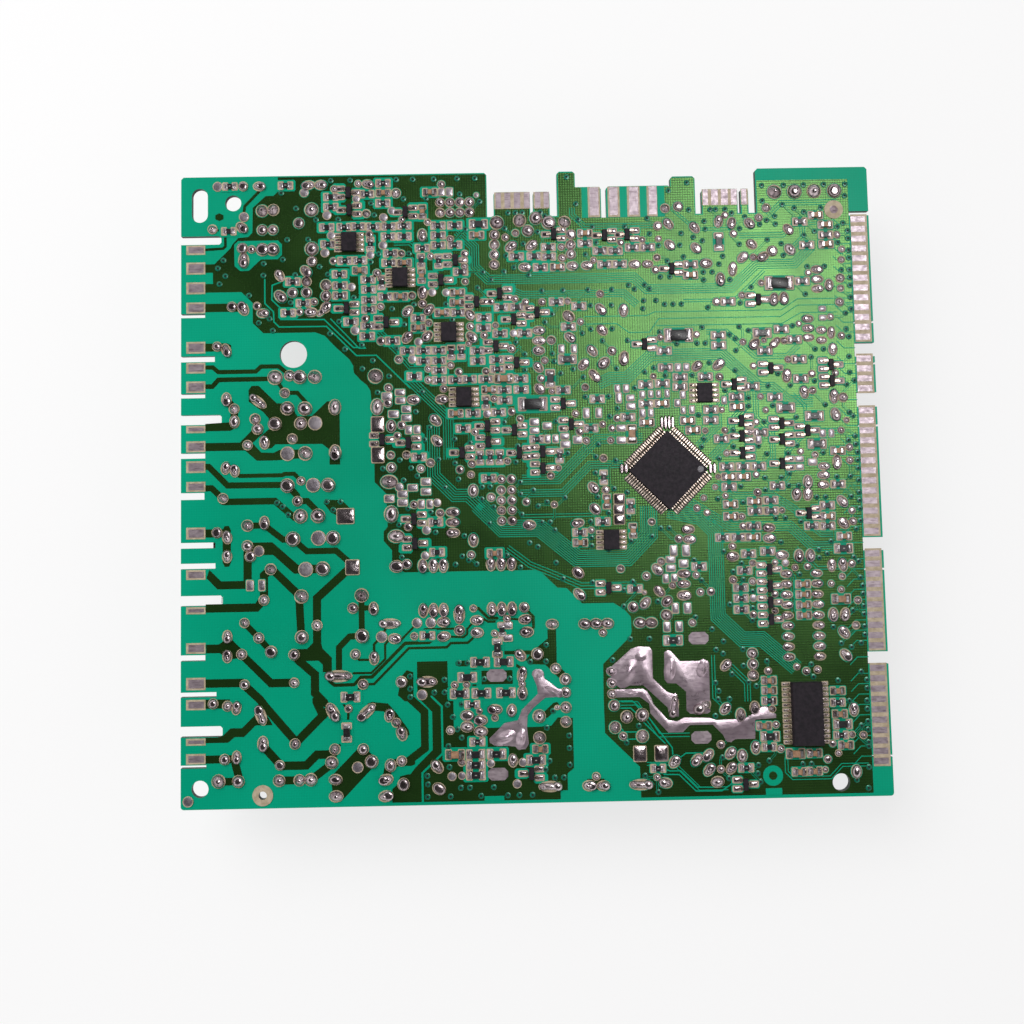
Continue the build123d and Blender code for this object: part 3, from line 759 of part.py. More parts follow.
def nodes():
    """Every node's solids, by name."""
    made = {"board": [plate(board_outline(), TOP_Z - BOARD_T, BOARD_T)]}
    made["contacts_left"] = left_contacts()
    made["contacts_right"] = right_contacts()
    made["contacts_top"] = top_contacts()
    made["test_rings"] = eyelets()
    made["lug_pads"] = lug_pads()
    made["tinning"] = tinning()
    made["resistors_0805"] = chips(RESISTORS_X, CHIP_0805) + chips(RESISTORS_Y, CHIP_0805, True)
    made["capacitors_0805"] = chips(CAPS_X, CAP_0805) + chips(CAPS_Y, CAP_0805, True)
    made["resistors_1206"] = chips(WIDE_X, CHIP_1206) + chips(WIDE_Y, CHIP_1206, True)
    made["capacitors_1206"] = chips(WIDE_CAPS_X, CAP_1206) + chips(WIDE_CAPS_Y, CAP_1206, True)
    made["shunts"] = chips(SHUNTS, SHUNT) + chips(SHUNTS_LARGE, SHUNT_LARGE)
    made["transistors_sot"] = chips(THREE_LEADS, SOT_BODY)
    made["joints_round"] = joints([(x, y, d, d, 0) for x, y, d in ROUND_JOINTS])
    made["joints_long"] = joints(LONG_JOINTS)
    made["joint_lumps"] = [brick(x, y, TOP_Z, w, h, LUMP_H) for x, y, w, h in LUMPS]
    made["processor"], made["processor_leads"] = quad_flat()
    body, made["driver_so24_leads"] = small_outline(*SOIC_AT, SOIC_BODY, SOIC_LEADS)
    made["driver_so24"] = [body]
    made["so8_bodies"], made["so8_leads"] = [], []
    for x, y in SO8S:
        body, leads = small_outline(x, y, SO8_BODY, 4, lead_l=1.0)
        made["so8_bodies"].append(body)
        made["so8_leads"] += leads
    for number, (x, y) in enumerate(RELAYS, 1):
        made[f"relay_{number}"] = [relay(x, y, RELAY)]
    made["relay_5"] = [relay(*CUBE_RELAY_AT, CUBE_RELAY)]
    made["electrolytics_tall"] = [can(x, y, d, PARTS_H) for x, y, d in ECAPS_TALL]
    made["electrolytics"] = [can(*each) for each in ECAPS]
    made["film_capacitors"] = [hung(x, y, length, width, height) for x, y, length, width, height in BOX_CAPS]
    made["axial_parts"] = [part for each in AXIALS for part in axial(*each)]
    made["transistors_leaded"] = [part for x, y in TO92_ROWS for part in small_transistor(x, y)]
    made["optocouplers"], made["optocoupler_leads"] = [], []
    for x, y in OPTO_AT:
        body, leads = dual_in_line(x, y, OPTO_BODY, OPTO_ROWS, 3)
        made["optocouplers"].append(body)
        made["optocoupler_leads"] += leads
    body, made["driver_dip_leads"] = dual_in_line(*DIP_AT, DIP_BODY, DIP_ROWS, DIP_LEADS, 90)
    made["driver_dip"] = [body]
    made["header_blocks"], made["header_pins"] = [], []
    for each in HEADERS:
        block, pins = header(*each)
        made["header_blocks"].append(block)
        made["header_pins"] += pins
    body, made["row_connector_pins"] = terminal()
    made["row_connector"] = [body]
    glass, made["fuse_caps"], made["fuse_clips"] = fuse()
    made["fuse_glass"] = [glass]
    base, core, made["choke_windings"] = choke()
    made["choke_base"], made["choke_core"] = [base], [core]
    made["transformer_rails"], frame, winding = transformer()
    made["transformer_core"], made["transformer_winding"] = [frame], [winding]
    for number, (x, y) in enumerate(SINKS, 1):
        made[f"heat_sink_{number}"] = [heat_sink(x, y)]
    made["power_transistors"] = power_transistor(TO220_AT[0], TO220_AT[1], 90)
    for x, y in SINKS:
        made["power_transistors"] += power_transistor(x - SINK[0] / 2, y, 180)
    made["discs"] = [disc(x, y, *DISC_CAP, turn=90) for x, y in DISC_CAPS]
    made["varistor"] = [disc(*VARISTOR_AT, *VARISTOR, turn=48)]
    return made


if __name__ == "__main__":
    os.makedirs("parts", exist_ok=True)
    for name, things in nodes().items():
        export_step(Compound(children=flat(things)), f"parts/{name}.step")
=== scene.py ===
import logging
import math
from dataclasses import dataclass
from enum import Enum
from typing import Iterable, Optional, Sequence

import bpy
import numpy as np
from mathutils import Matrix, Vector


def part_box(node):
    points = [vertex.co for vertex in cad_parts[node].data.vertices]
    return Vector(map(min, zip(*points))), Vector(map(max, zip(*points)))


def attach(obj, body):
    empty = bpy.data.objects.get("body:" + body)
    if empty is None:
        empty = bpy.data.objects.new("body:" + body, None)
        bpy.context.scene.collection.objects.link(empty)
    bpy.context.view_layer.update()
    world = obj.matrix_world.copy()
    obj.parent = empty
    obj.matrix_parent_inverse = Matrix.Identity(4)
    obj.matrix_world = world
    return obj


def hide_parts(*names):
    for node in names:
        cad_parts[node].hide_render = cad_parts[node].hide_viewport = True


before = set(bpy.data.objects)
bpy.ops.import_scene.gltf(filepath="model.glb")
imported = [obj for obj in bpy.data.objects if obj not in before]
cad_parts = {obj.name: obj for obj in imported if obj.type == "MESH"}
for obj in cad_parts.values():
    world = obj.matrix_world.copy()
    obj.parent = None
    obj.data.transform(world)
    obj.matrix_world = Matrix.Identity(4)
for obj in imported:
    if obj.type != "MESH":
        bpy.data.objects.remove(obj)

# Dress of a boiler control board that lies solder side up. Sizes are millimetres, apart from the
# studio's metres. Lists give x, y from the board's lower left corner, and heights count from the
# solder face upwards.

Array = np.ndarray
Colour = tuple[float, float, float, float]
Path = Sequence[object]   # points as pairs, or x and y of one after the other
MM = 0.001
FOOT = -0.02              # how deep a copper plate's foot lies in the laminate
WEST_FIELD = 92.0         # clearances west of this x are wider
WEST_SCALE = 1.16         # and so much wider
LOG = logging.getLogger("control_board")


class Level(Enum):
    """Tops of the thin layers on the solder face."""

    COPPER = 0.010
    TRACK = 0.020
    MOAT = 0.030
    WINDOW = 0.055
    CLEARANCE = 0.060
    LINK = 0.105
    TINNED = 0.110
    RIM = 0.150
    HOLE = 0.160


class Side(Enum):
    """The side of a three-lead part that has its single lead."""

    EAST = 1
    WEST = -1


def tone(red: int, green: int, blue: int) -> Colour:
    """A screen colour as linear light: c/12.92 near black, else ((c+0.055)/1.055)^2.4.

    Args:
        red: Red from 0 to 255.
        green: Green from 0 to 255.
        blue: Blue from 0 to 255.

    Returns:
        Linear red, green and blue, and full cover.
    """
    c = np.array([red, green, blue]) / 255.0
    linear = np.where(c <= 0.04045, c / 12.92, ((c + 0.055) / 1.055) ** 2.4)
    return (float(linear[0]), float(linear[1]), float(linear[2]), 1.0)


# ---- the board as the frame gives it -------------------------------------------------------------


@dataclass(frozen=True)
class BoardPlane:
    """The board's corner, solder face and size in the shared frame.

    Attributes:
        left: The board's left edge, in metres.
        front: Its lower edge, in metres.
        face: The solder face's height, in metres.
        width: Its width in millimetres.
        height: Its other side in millimetres.
    """

    left: float
    front: float
    face: float
    width: float
    height: float

    @classmethod
    def from_frame(cls) -> "BoardPlane":
        """Reads the board's box."""
        low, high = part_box("board")
        return cls(low.x, low.y, high.z, (high.x - low.x) / MM, (high.y - low.y) / MM)

    def to_metres(self, points: Array) -> Array:
        """Moves points from the board's millimetres to the shared frame."""
        return points * MM + np.array([self.left, self.front, self.face])

    def to_board(self, points: Array) -> Array:
        """Moves points from the shared frame to the board's millimetres."""
        return (points - np.array([self.left, self.front, self.face])) / MM


PLANE = BoardPlane.from_frame()


def solids_of(node: str) -> list[Array]:
    """The loose solids of a node, each as its own points.

    Equal points are merged, then each point takes the lowest label among the triangles it is in,
    again and again, until no label changes.

    Args:
        node: The CAD node's name.

    Returns:
        One array of points for each solid, in the board's millimetres.
    """
    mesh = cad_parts[node].data
    points = np.empty(len(mesh.vertices) * 3)
    mesh.vertices.foreach_get("co", points)
    points = PLANE.to_board(points.reshape(-1, 3))
    corners = np.empty(len(mesh.loops), dtype=np.int64)
    mesh.loops.foreach_get("vertex_index", corners)
    _, first, same = np.unique(np.round(points, 3), axis=0, return_index=True, return_inverse=True)
    points, triangles = points[first], same.reshape(-1)[corners].reshape(-1, 3)
    label = np.arange(len(points))
    while True:
        lowest = label[triangles].min(axis=1)
        fresh = label.copy()
        np.minimum.at(fresh, triangles.ravel(), np.repeat(lowest, 3))
        if np.array_equal(fresh, label):
            break
        label = fresh
    return [points[label == one] for one in np.unique(label)]


def boxes_of(node: str) -> Array:
    """The boxes of a node's solids.

    Args:
        node: The CAD node's name.

    Returns:
        Rows of centre x, centre y, length x, width y, low z, high z.
    """
    rows = []
    for points in solids_of(node):
        low, high = points.min(axis=0), points.max(axis=0)
        middle, size = (low + high) / 2, high - low
        rows.append((middle[0], middle[1], size[0], size[1], low[2], high[2]))
    return np.array(rows)


def joints_of(node: str) -> Array:
    """The solder joints of a node.

    A joint's base has two corners at the ends of its length and two at the ends of its width, so
    the spread of its corners along each is an eighth of that size squared.

    Args:
        node: The CAD node's name.

    Returns:
        Rows of x, y, length, width, angle.
    """
    rows = []
    for points in solids_of(node):
        base = points[points[:, 2] < 0.05][:, :2]
        middle = base.mean(axis=0)
        spread, axes = np.linalg.eigh((base - middle).T @ (base - middle) / len(base))
        width, length = np.sqrt(8 * spread)
        rows.append((*middle, length, width, math.atan2(axes[1, 1], axes[0, 1])))
    return np.array(rows)


# ---- finishes ------------------------------------------------------------------------------------


class Graph:
    """The nodes of a material or a world, and a short way to wire them."""

    def __init__(self, owner: bpy.types.ID, shader: str = "BSDF_PRINCIPLED", place: str = "Object") -> None:
        """Starts on an owner's nodes.

        Args:
            owner: The material or the world.
            shader: Type of the node that shades it.
            place: The coordinates that its patterns lie on.
        """
        owner.use_nodes = True
        self.tree = owner.node_tree
        self.shader = self.found(shader)
        self.place = self.add("ShaderNodeTexCoord").outputs[place]

    def found(self, kind: str) -> bpy.types.Node:
        """The first node of a kind."""
        return next(n for n in self.tree.nodes if n.type == kind)

    def add(self, kind: str, settings: Optional[dict] = None, **values: object) -> bpy.types.Node:
        """Adds a node.

        Args:
            kind: The node's type.
            settings: Its own properties.
            **values: Its inputs, with underscores for spaces, each a number, a colour or a socket.

        Returns:
            The new node.
        """
        node = self.tree.nodes.new(kind)
        for key, value in (settings or {}).items():
            setattr(node, key, value)
        for key, value in values.items():
            self.feed(node.inputs[key.replace("_", " ")], value)
        return node

    def feed(self, socket: bpy.types.NodeSocket, value: object) -> None:
        """Links a socket to another one, or gives it a constant.

        Args:
            socket: The input.
            value: A number, a colour or a socket.
        """
        if isinstance(value, bpy.types.NodeSocket):
            self.tree.links.new(value, socket)
        else:
            socket.default_value = value

    def noise(self, scale: float, detail: float = 3.0, **values: object) -> bpy.types.NodeSocket:
        """Cloudy noise with so many cells to the metre."""
        values.setdefault("Vector", self.place)
        return self.add("ShaderNodeTexNoise", Scale=scale, Detail=detail, **values).outputs["Fac"]

    def stretched(self, x: float, y: float, z: float, turn: float = 0.0) -> bpy.types.NodeSocket:
        """The piece's place, turned about the board's normal and then scaled.

        Args:
            x: Scale along x.
            y: Scale along y.
            z: Scale along z.
            turn: The angle.

        Returns:
            The new place.
        """
        turned = self.add("ShaderNodeMapping", Vector=self.place, Rotation=(0.0, 0.0, turn))
        return self.add(
            "ShaderNodeMapping", Vector=turned.outputs["Vector"], Scale=(x, y, z)
        ).outputs["Vector"]

    def waves(self, pitch: float, axis: str, distortion: float = 0.0) -> bpy.types.NodeSocket:
        """Parallel bands across one axis: the node's scale is two pi over twenty pitches.

        Args:
            pitch: Distance between bands in millimetres.
            axis: The axis across which they run.
            distortion: How wavy they are.

        Returns:
            The wave's value.
        """
        return self.add(
            "ShaderNodeTexWave", {"bands_direction": axis}, Vector=self.place,
            Scale=2 * math.pi / (20 * pitch * MM), Distortion=distortion,
        ).outputs["Fac"]

    def ramp(self, value: bpy.types.NodeSocket, *stops: tuple[float, Colour]) -> bpy.types.NodeSocket:
        """Turns a value into a colour.

        Args:
            value: The value.
            *stops: Position and colour of each stop.

        Returns:
            The colour.
        """
        node = self.add("ShaderNodeValToRGB", Fac=value)
        elements = node.color_ramp.elements
        while len(elements) < len(stops):
            elements.new(0.5)
        for element, (position, colour) in zip(elements, stops):
            element.position = position
            element.color = colour
        return node.outputs["Color"]

    def span(self, value: bpy.types.NodeSocket, low: float, high: float,
             start: float = 0.3, end: float = 0.7) -> bpy.types.NodeSocket:
        """Stretches a value from start..end to low..high."""
        return self.add(
            "ShaderNodeMapRange", Value=value, From_Min=start, From_Max=end, To_Min=low, To_Max=high
        ).outputs["Result"]

    def math(self, operation: str, first: object, second: object = 0.0) -> bpy.types.NodeSocket:
        """One step of arithmetic.

        Args:
            operation: The step's kind.
            first: Its first number or socket.
            second: Its second one.

        Returns:
            The result.
        """
        node = self.add("ShaderNodeMath", {"operation": operation})
        for socket, value in zip(node.inputs, (first, second)):
            self.feed(socket, value)
        return node.outputs["Value"]

    def mixed(self, amount: object, first: object, second: object) -> bpy.types.NodeSocket:
        """Mixes two colours.

        Args:
            amount: How much of the second one shows.
            first: The first colour.
            second: The second colour.

        Returns:
            The mixed colour.
        """
        node = self.add("ShaderNodeMix", {"data_type": "RGBA"})
        for index, value in ((0, amount), (6, first), (7, second)):
            self.feed(node.inputs[index], value)
        return node.outputs[2]

    def bumped(self, height: bpy.types.NodeSocket, depth: float) -> None:
        """Gives the shader a relief of so many millimetres."""
        bump = self.add("ShaderNodeBump", Height=height, Distance=depth * MM)
        self.tree.links.new(bump.outputs["Normal"], self.shader.inputs["Normal"])

    def wire(self, name: str, value: object) -> None:
        """Sets or links one of the shader's inputs."""
        self.feed(self.shader.inputs[name], value)


@dataclass(frozen=True)
class Finish:
    """A surface of two tones in a cloudy pattern, with its own gloss and relief.

    Attributes:
        name: The finish in plain words.
        light: The lighter tone.
        dark: The darker tone.
        cells: Cells of the pattern to the metre.
        rough: Least and most roughness.
        metal: How metallic it is.
        relief: Depth of its fine relief in millimetres.
        coat: Weight of the clear coat.
        coat_rough: Roughness of that coat.
        specular: Level of the plain gloss.
    """

    name: str
    light: Colour
    dark: Colour
    cells: float = 300.0
    rough: tuple[float, float] = (0.35, 0.5)
    metal: float = 0.0
    relief: float = 0.01
    coat: float = 0.0
    coat_rough: float = 0.1
    specular: float = 0.5

    def clouds(self, graph: Graph, detail: float = 3.0, edge: float = 0.35) -> bpy.types.NodeSocket:
        """Dark to light where the noise goes from an edge to one less that edge."""
        return graph.ramp(graph.noise(self.cells, detail), (edge, self.dark), (1.0 - edge, self.light))

    def colour(self, graph: Graph) -> bpy.types.NodeSocket:
        """The base colour."""
        return self.clouds(graph)

    def height(self, graph: Graph) -> bpy.types.NodeSocket:
        """The relief: a finer noise."""
        return graph.noise(self.cells * 4, 4.0)

    def material(self) -> bpy.types.Material:
        """Makes the finish's material, once.

        Returns:
            The material.
        """
        made = bpy.data.materials.get(self.name)
        if made is not None:
            return made
        made = bpy.data.materials.new(self.name)
        graph = Graph(made)
        graph.wire("Base Color", self.colour(graph))
        graph.wire("Roughness", graph.span(graph.noise(self.cells * 2.3), *self.rough))
        graph.wire("Metallic", self.metal)
        graph.wire("Coat Weight", self.coat)
        graph.wire("Coat Roughness", self.coat_rough)
        graph.wire("Specular IOR Level", self.specular)
        graph.bumped(self.height(graph), self.relief)
        self.extra(graph)
        return made

    def extra(self, graph: Graph) -> None:
        """Room for a finish's own inputs."""


@dataclass(frozen=True)
class WovenMask(Finish):
    """Solder mask over glass cloth: crossed threads show in the colour and in the relief.

    Attributes:
        thread: Pitch of the threads in millimetres.
        edge_shade_and_threads: Near-black painted shade on the cut edges, and the colour of the threads in
            masked copper.
        show: How much the threads change the colour.
    """

    thread: float = 0.62
    # painted shade: the near-black colour that the board's cut edges take
    edge_shade_and_threads: Colour = (0.02, 0.03, 0.02, 1.0)
    show: float = 0.1

    def cloth(self, graph: Graph) -> bpy.types.NodeSocket:
        """The threads: the sum of two crossed waves, each one cycle to a thread."""
        return graph.math("ADD", *(graph.waves(self.thread, axis, 0.4) for axis in "XY"))

    def colour(self, graph: Graph) -> bpy.types.NodeSocket:
        """Cloudy tones, darker between threads, with near-black painted shade on the cut edges.

        Args:
            graph: The material in the making.

        Returns:
            The base colour.
        """
        clouds = self.clouds(graph, 5.0, 0.3)
        threads = graph.span(self.cloth(graph), 0.0, self.show, 0.0, 2.0)
        woven = graph.mixed(threads, clouds, self.dark)
        # painted shade: faces that turn away from upwards, the cut edges, take the near-black colour
        normal = graph.add("ShaderNodeNewGeometry").outputs["Normal"]
        up = graph.math("ABSOLUTE", graph.add("ShaderNodeSeparateXYZ", Vector=normal).outputs["Z"])
        return graph.mixed(graph.span(up, 0.0, 1.0, 0.4, 0.6), self.edge_shade_and_threads, woven)

    def height(self, graph: Graph) -> bpy.types.NodeSocket:
        """Threads with a little dust."""
        return graph.math("ADD", self.cloth(graph), graph.noise(self.cells * 8))


@dataclass(frozen=True)
class MaskedCopper(WovenMask):
    """Copper seen through solder mask, with scuffs and the grid of the glass cloth."""

    def colour(self, graph: Graph) -> bpy.types.NodeSocket:
        """Cloudy tones with fine brushed scuffs, darker between threads.

        Args:
            graph: The material in the making.

        Returns:
            The base colour.
        """
        clouds = self.clouds(graph, 5.0, 0.3)
        scuffs = graph.noise(160.0, 2.0, Vector=graph.stretched(1.0, 14.0, 1.0, 0.4))
        scuffed = graph.mixed(graph.span(scuffs, 0.0, 0.35, 0.55, 0.75), clouds, self.light)
        return graph.mixed(graph.span(self.cloth(graph), 0.0, self.show, 0.0, 2.0), scuffed, self.edge_shade_and_threads)


@dataclass(frozen=True)
class Smeared(Finish):
    """Tinned copper rubbed by a connector: dark smears along the contact.

    Attributes:
        along: How much the smears' noise is squeezed along x and y.
        smear: Colour of the smears.
    """

    along: tuple[float, float] = (1.0, 4.0)
    smear: Colour = (0.1, 0.09, 0.1, 1.0)

    def colour(self, graph: Graph) -> bpy.types.NodeSocket:
        """Cloudy tones with long smears where a stretched noise is high.

        Args:
            graph: The material in the making.

        Returns:
            The base colour.
        """
        clouds = self.clouds(graph, 5.0, 0.3)
        rubs = graph.noise(520.0, 6.0, Vector=graph.stretched(self.along[0], self.along[1], 1.0))
        return graph.mixed(graph.span(rubs, 0.0, 0.65, 0.5, 0.68), clouds, self.smear)


@dataclass(frozen=True)
class Banded(Finish):
    """A body with bands or a stripe across one axis.

    Attributes:
        axis: The axis across which the bands run.
        pitch: Distance between bands in millimetres.
        band: Colour of the bands.
    """

    axis: str = "X"
    pitch: float = 1.0
    band: Colour = (0.1, 0.05, 0.02, 1.0)

    def colour(self, graph: Graph) -> bpy.types.NodeSocket:
        """Cloudy tones with bands where the wave is high.

        Args:
            graph: The material in the making.

        Returns:
            The base colour.
        """
        clouds = self.clouds(graph)
        bands = graph.span(graph.waves(self.pitch, self.axis), 0.0, 1.0, 0.72, 0.8)
        return graph.mixed(bands, clouds, self.band)


@dataclass(frozen=True)
class ClearTube(Finish):
    """Glass of a fuse."""

    def extra(self, graph: Graph) -> None:
        """Lets light through."""
        graph.wire("Transmission Weight", 0.9)
        graph.wire("IOR", 1.47)


MASK = WovenMask("mask_over_laminate", tone(0, 166, 130), tone(0, 146, 112), cells=22, rough=(0.36, 0.48),
    relief=0.006, specular=0.12, show=0.45)
MASKED_COPPER = MaskedCopper("mask_over_copper", tone(58, 99, 42), tone(40, 78, 28), cells=40,
    rough=(0.24, 0.31), metal=0.74, coat=0.28, coat_rough=0.27, specular=0.2, show=0.16)
MASK_RIM = Finish("mask_window_rim", tone(190, 175, 150), tone(164, 149, 122), cells=900, rough=(0.5, 0.7),
    relief=0.006)
TIN = Smeared("tinned_contact", tone(182, 168, 174), tone(150, 136, 144), cells=500, rough=(0.3, 0.5),
    metal=0.55, relief=0.006, smear=tone(112, 96, 104))
SOLDER = Finish("bright_solder", tone(206, 193, 195), tone(156, 142, 145), cells=130, rough=(0.17, 0.3),
    metal=1.0, relief=0.1)
TINNED_COPPER = Smeared("tinned_copper", tone(196, 180, 188), tone(168, 150, 160), cells=160,
    rough=(0.26, 0.4), metal=0.72, relief=0.05, along=(1.0, 3.0), smear=tone(136, 118, 130))
DULL_SOLDER = Finish("levelled_solder", tone(186, 178, 184), tone(150, 142, 150), cells=420,
    rough=(0.3, 0.45), metal=0.85, relief=0.03)
TERMINAL = Finish("plated_terminal", tone(200, 196, 198), tone(150, 146, 148), cells=1500,
    rough=(0.25, 0.4), metal=0.9)
LEAD_METAL = Finish("tinned_lead", tone(204, 188, 176), tone(156, 138, 126), cells=900, rough=(0.22, 0.36),
    metal=0.95)
CHIP_BLACK = Finish("resistor_glaze", tone(36, 34, 36), tone(18, 17, 19), cells=1800, rough=(0.25, 0.5))
CHIP_MARK = Finish("resistor_print", tone(188, 184, 180), tone(140, 136, 132), cells=2400, rough=(0.5, 0.7),
    relief=0.005)
CHIP_BROWN = Finish("capacitor_ceramic", tone(172, 134, 104), tone(138, 102, 76), cells=1200,
    rough=(0.4, 0.6))
PACKAGE = Finish("moulded_package", tone(38, 31, 38), tone(24, 20, 26), cells=1100, rough=(0.5, 0.7),
    relief=0.012, specular=0.25)
RELAY_CASE = Finish("relay_case", tone(34, 36, 42), tone(24, 26, 31), cells=260, rough=(0.38, 0.55),
    relief=0.008)
SLEEVE = Finish("can_sleeve", tone(38, 40, 60), tone(26, 28, 46), rough=(0.3, 0.45), relief=0.006, coat=0.3)
SLEEVE_STRIPE = Finish("sleeve_stripe", tone(176, 178, 182), tone(150, 152, 158), cells=400, relief=0.004)
ALUMINIUM = Finish("bare_aluminium", tone(196, 198, 200), tone(168, 170, 174), cells=700,
    rough=(0.28, 0.42), metal=1.0, relief=0.006)
SINK_METAL = Finish("brushed_sink", tone(150, 152, 156), tone(112, 114, 120), cells=500, rough=(0.35, 0.55),
    metal=0.9, relief=0.012)
FILM_BOX = Finish("film_box", tone(60, 96, 150), tone(46, 78, 128), cells=240, coat=0.2)
AXIAL_BODY = Finish("axial_body", tone(196, 170, 128), tone(170, 142, 100), cells=700, rough=(0.4, 0.55),
    relief=0.012)
WHITE_PLASTIC = Finish("white_plastic", tone(222, 220, 210), tone(204, 202, 190), cells=200,
    rough=(0.4, 0.55), relief=0.008)
BLACK_PLASTIC = Finish("black_plastic", tone(40, 40, 42), tone(27, 27, 29), cells=260, rough=(0.42, 0.6))
FERRITE = Finish("ferrite", tone(58, 56, 56), tone(38, 37, 38), cells=900, rough=(0.55, 0.75), relief=0.02)
COPPER_WIRE = Banded("enamelled_wire", tone(178, 92, 48), tone(140, 66, 32), cells=500, rough=(0.25, 0.38),
    metal=0.85, relief=0.05, axis="Z", pitch=0.6, band=tone(84, 36, 18))
TAPE = Banded("winding_tape", tone(206, 178, 70), tone(184, 154, 52), cells=180, rough=(0.3, 0.42),
    axis="Z", pitch=5.0, band=tone(160, 130, 42))
GLASS = ClearTube("fuse_glass", tone(236, 242, 240), tone(226, 234, 232), cells=200, rough=(0.03, 0.08),
    relief=0.002)
BLUE_LACQUER = Finish("blue_lacquer", tone(34, 76, 150), tone(24, 58, 122), rough=(0.28, 0.42), relief=0.02,
    coat=0.3)
BROWN_LACQUER = Finish("brown_lacquer", tone(178, 104, 44), tone(150, 82, 34), rough=(0.3, 0.45),
    relief=0.02, coat=0.2)
WORN_PACKAGE = Finish("polished_package", tone(66, 60, 70), tone(48, 44, 52), cells=900, rough=(0.2, 0.3),
    relief=0.004)
# painted shade: a dark laminate tone for the shadowed ground between the processor's leads
LEAD_SHADE_PAINT = Finish("painted_lead_shade", tone(66, 60, 40), tone(40, 38, 24), cells=1200, rough=(0.5, 0.7),
    relief=0.008)
HOLE_DARK = Finish("hole_shadow", tone(16, 30, 22), tone(6, 12, 9), cells=1500, rough=(0.7, 0.9))
VIA_GREEN = Finish("tented_ring", tone(0, 118, 92), tone(0, 92, 70), cells=1200, rough=(0.3, 0.45),
    metal=0.2, relief=0.006, coat=0.3)


# ---- shapes --------------------------------------------------------------------------------------


@dataclass
class Shell:
    """A closed surface as arrays.

    Attributes:
        points: Its points in the board's millimetres.
        corners: The points' numbers, face after face.
        sizes: How many corners each face has.
    """

    points: Array
    corners: Array
    sizes: Array

    def copies(self, places: Array) -> "Shell":
        """Copies of the shell, each turned, scaled and moved.

        Args:
            places: Rows of x, y, z, angle, scale along the shell's own x, y and z.

        Returns:
            All copies as one shell.
        """
        places = np.asarray(places, dtype=float).reshape(-1, 7)
        sized = self.points[None] * places[:, None, 4:7]
        cos, sin = np.cos(places[:, 3])[:, None], np.sin(places[:, 3])[:, None]
        x = sized[..., 0] * cos - sized[..., 1] * sin + places[:, None, 0]
        y = sized[..., 0] * sin + sized[..., 1] * cos + places[:, None, 1]
        points = np.stack([x, y, sized[..., 2] + places[:, None, 2]], axis=-1).reshape(-1, 3)
        offsets = np.arange(len(places))[:, None] * len(self.points)
        corners = (self.corners[None] + offsets).ravel()
        return Shell(points, corners, np.tile(self.sizes, len(places)))

    def at(self, x: float, y: float, z: float = 0.0, angle: float = 0.0) -> "Shell":
        """The shell turned and moved."""
        return self.copies(np.array([[x, y, z, angle, 1.0, 1.0, 1.0]]))


def joined(shells: Iterable[Shell]) -> Shell:
    """Several shells as one, each with its corners' numbers moved on.

    Args:
        shells: The shells.

    Returns:
        The one shell.
    """
    shells = list(shells)
    offsets = np.cumsum([0] + [len(s.points) for s in shells[:-1]])
    return Shell(
        np.concatenate([s.points for s in shells]),
        np.concatenate([s.corners + o for s, o in zip(shells, offsets)]),
        np.concatenate([s.sizes for s in shells]),
    )


def lofted(rings: Array) -> Shell:
    """Rings of points joined by quads from the lowest up, with both ends closed.

    Args:
        rings: Array of rings by points by three; each ring runs anticlockwise from above.

    Returns:
        The closed shell.
    """
    rings = np.asarray(rings, dtype=float)
    count, around = rings.shape[:2]
    step = np.arange(around)
    near = np.arange(count - 1)[:, None] * around + step
    ahead = np.arange(count - 1)[:, None] * around + (step + 1) % around
    quads = np.stack([near, ahead, ahead + around, near + around], axis=-1).reshape(-1, 4)
    corners = np.concatenate([quads.ravel(), step[::-1], (count - 1) * around + step])
    sizes = np.concatenate([np.full(len(quads), 4), [around, around]])
    return Shell(rings.reshape(-1, 3), corners, sizes)


def turned_profile(profile: Path, sides: int, lobes: float = 0.0) -> Shell:
    """A profile of radius and height carried round a vertical axis.

    Each ring is radius times the cosine and sine of the angle; lobes pull the radius in and out
    twice a turn and a little more once, so that no two quarters are alike.

    Args:
        profile: Radius and height of each ring, from the lowest up.
        sides: Points in a ring.
        lobes: Share of the radius that the lobes change.

    Returns:
        The closed shell.
    """
    radius, height = np.array(profile, dtype=float).T[:, :, None]
    angle = np.linspace(0, 2 * np.pi, sides, endpoint=False)[None]
    wobble = 1 + lobes * (np.cos(2 * angle + 0.7) + 0.6 * np.cos(angle - 1.1))
    rings = np.stack([radius * wobble * np.cos(angle), radius * wobble * np.sin(angle),
                      np.broadcast_to(height, (len(radius), sides))], axis=-1)
    return lofted(rings)


def points_of(path: Path) -> Array:
    """A path's points as rows of x, y."""
    return np.array(path, dtype=float).reshape(-1, 2)


def outline_area(outline: Array) -> float:
    """Signed area of an outline: half the sum of the cross products of its sides."""
    x, y = outline.T
    return 0.5 * float(np.sum(x * np.roll(y, -1) - np.roll(x, -1) * y))


def anticlockwise(outline: Path) -> Array:
    """An outline's points, anticlockwise."""
    flat = points_of(outline)
    return flat[::-1] if outline_area(flat) < 0 else flat


def rectangle(west: float, south: float, east: float, north: float) -> Path:
    """A rectangle's corners."""
    return [(west, south), (east, south), (east, north), (west, north)]


def prism(outline: Path, low: float, high: float) -> Shell:
    """A flat plate: an outline carried from one height to another.

    Args:
        outline: The outline, either way round.
        low: The lower height.
        high: The upper height.

    Returns:
        The closed shell.
    """
    flat = anticlockwise(outline)
    heights = np.array([low, high])
    rings = np.concatenate(
        [np.broadcast_to(flat, (2, *flat.shape)),
         np.broadcast_to(heights[:, None, None], (2, len(flat), 1))], axis=-1)
    return lofted(rings)


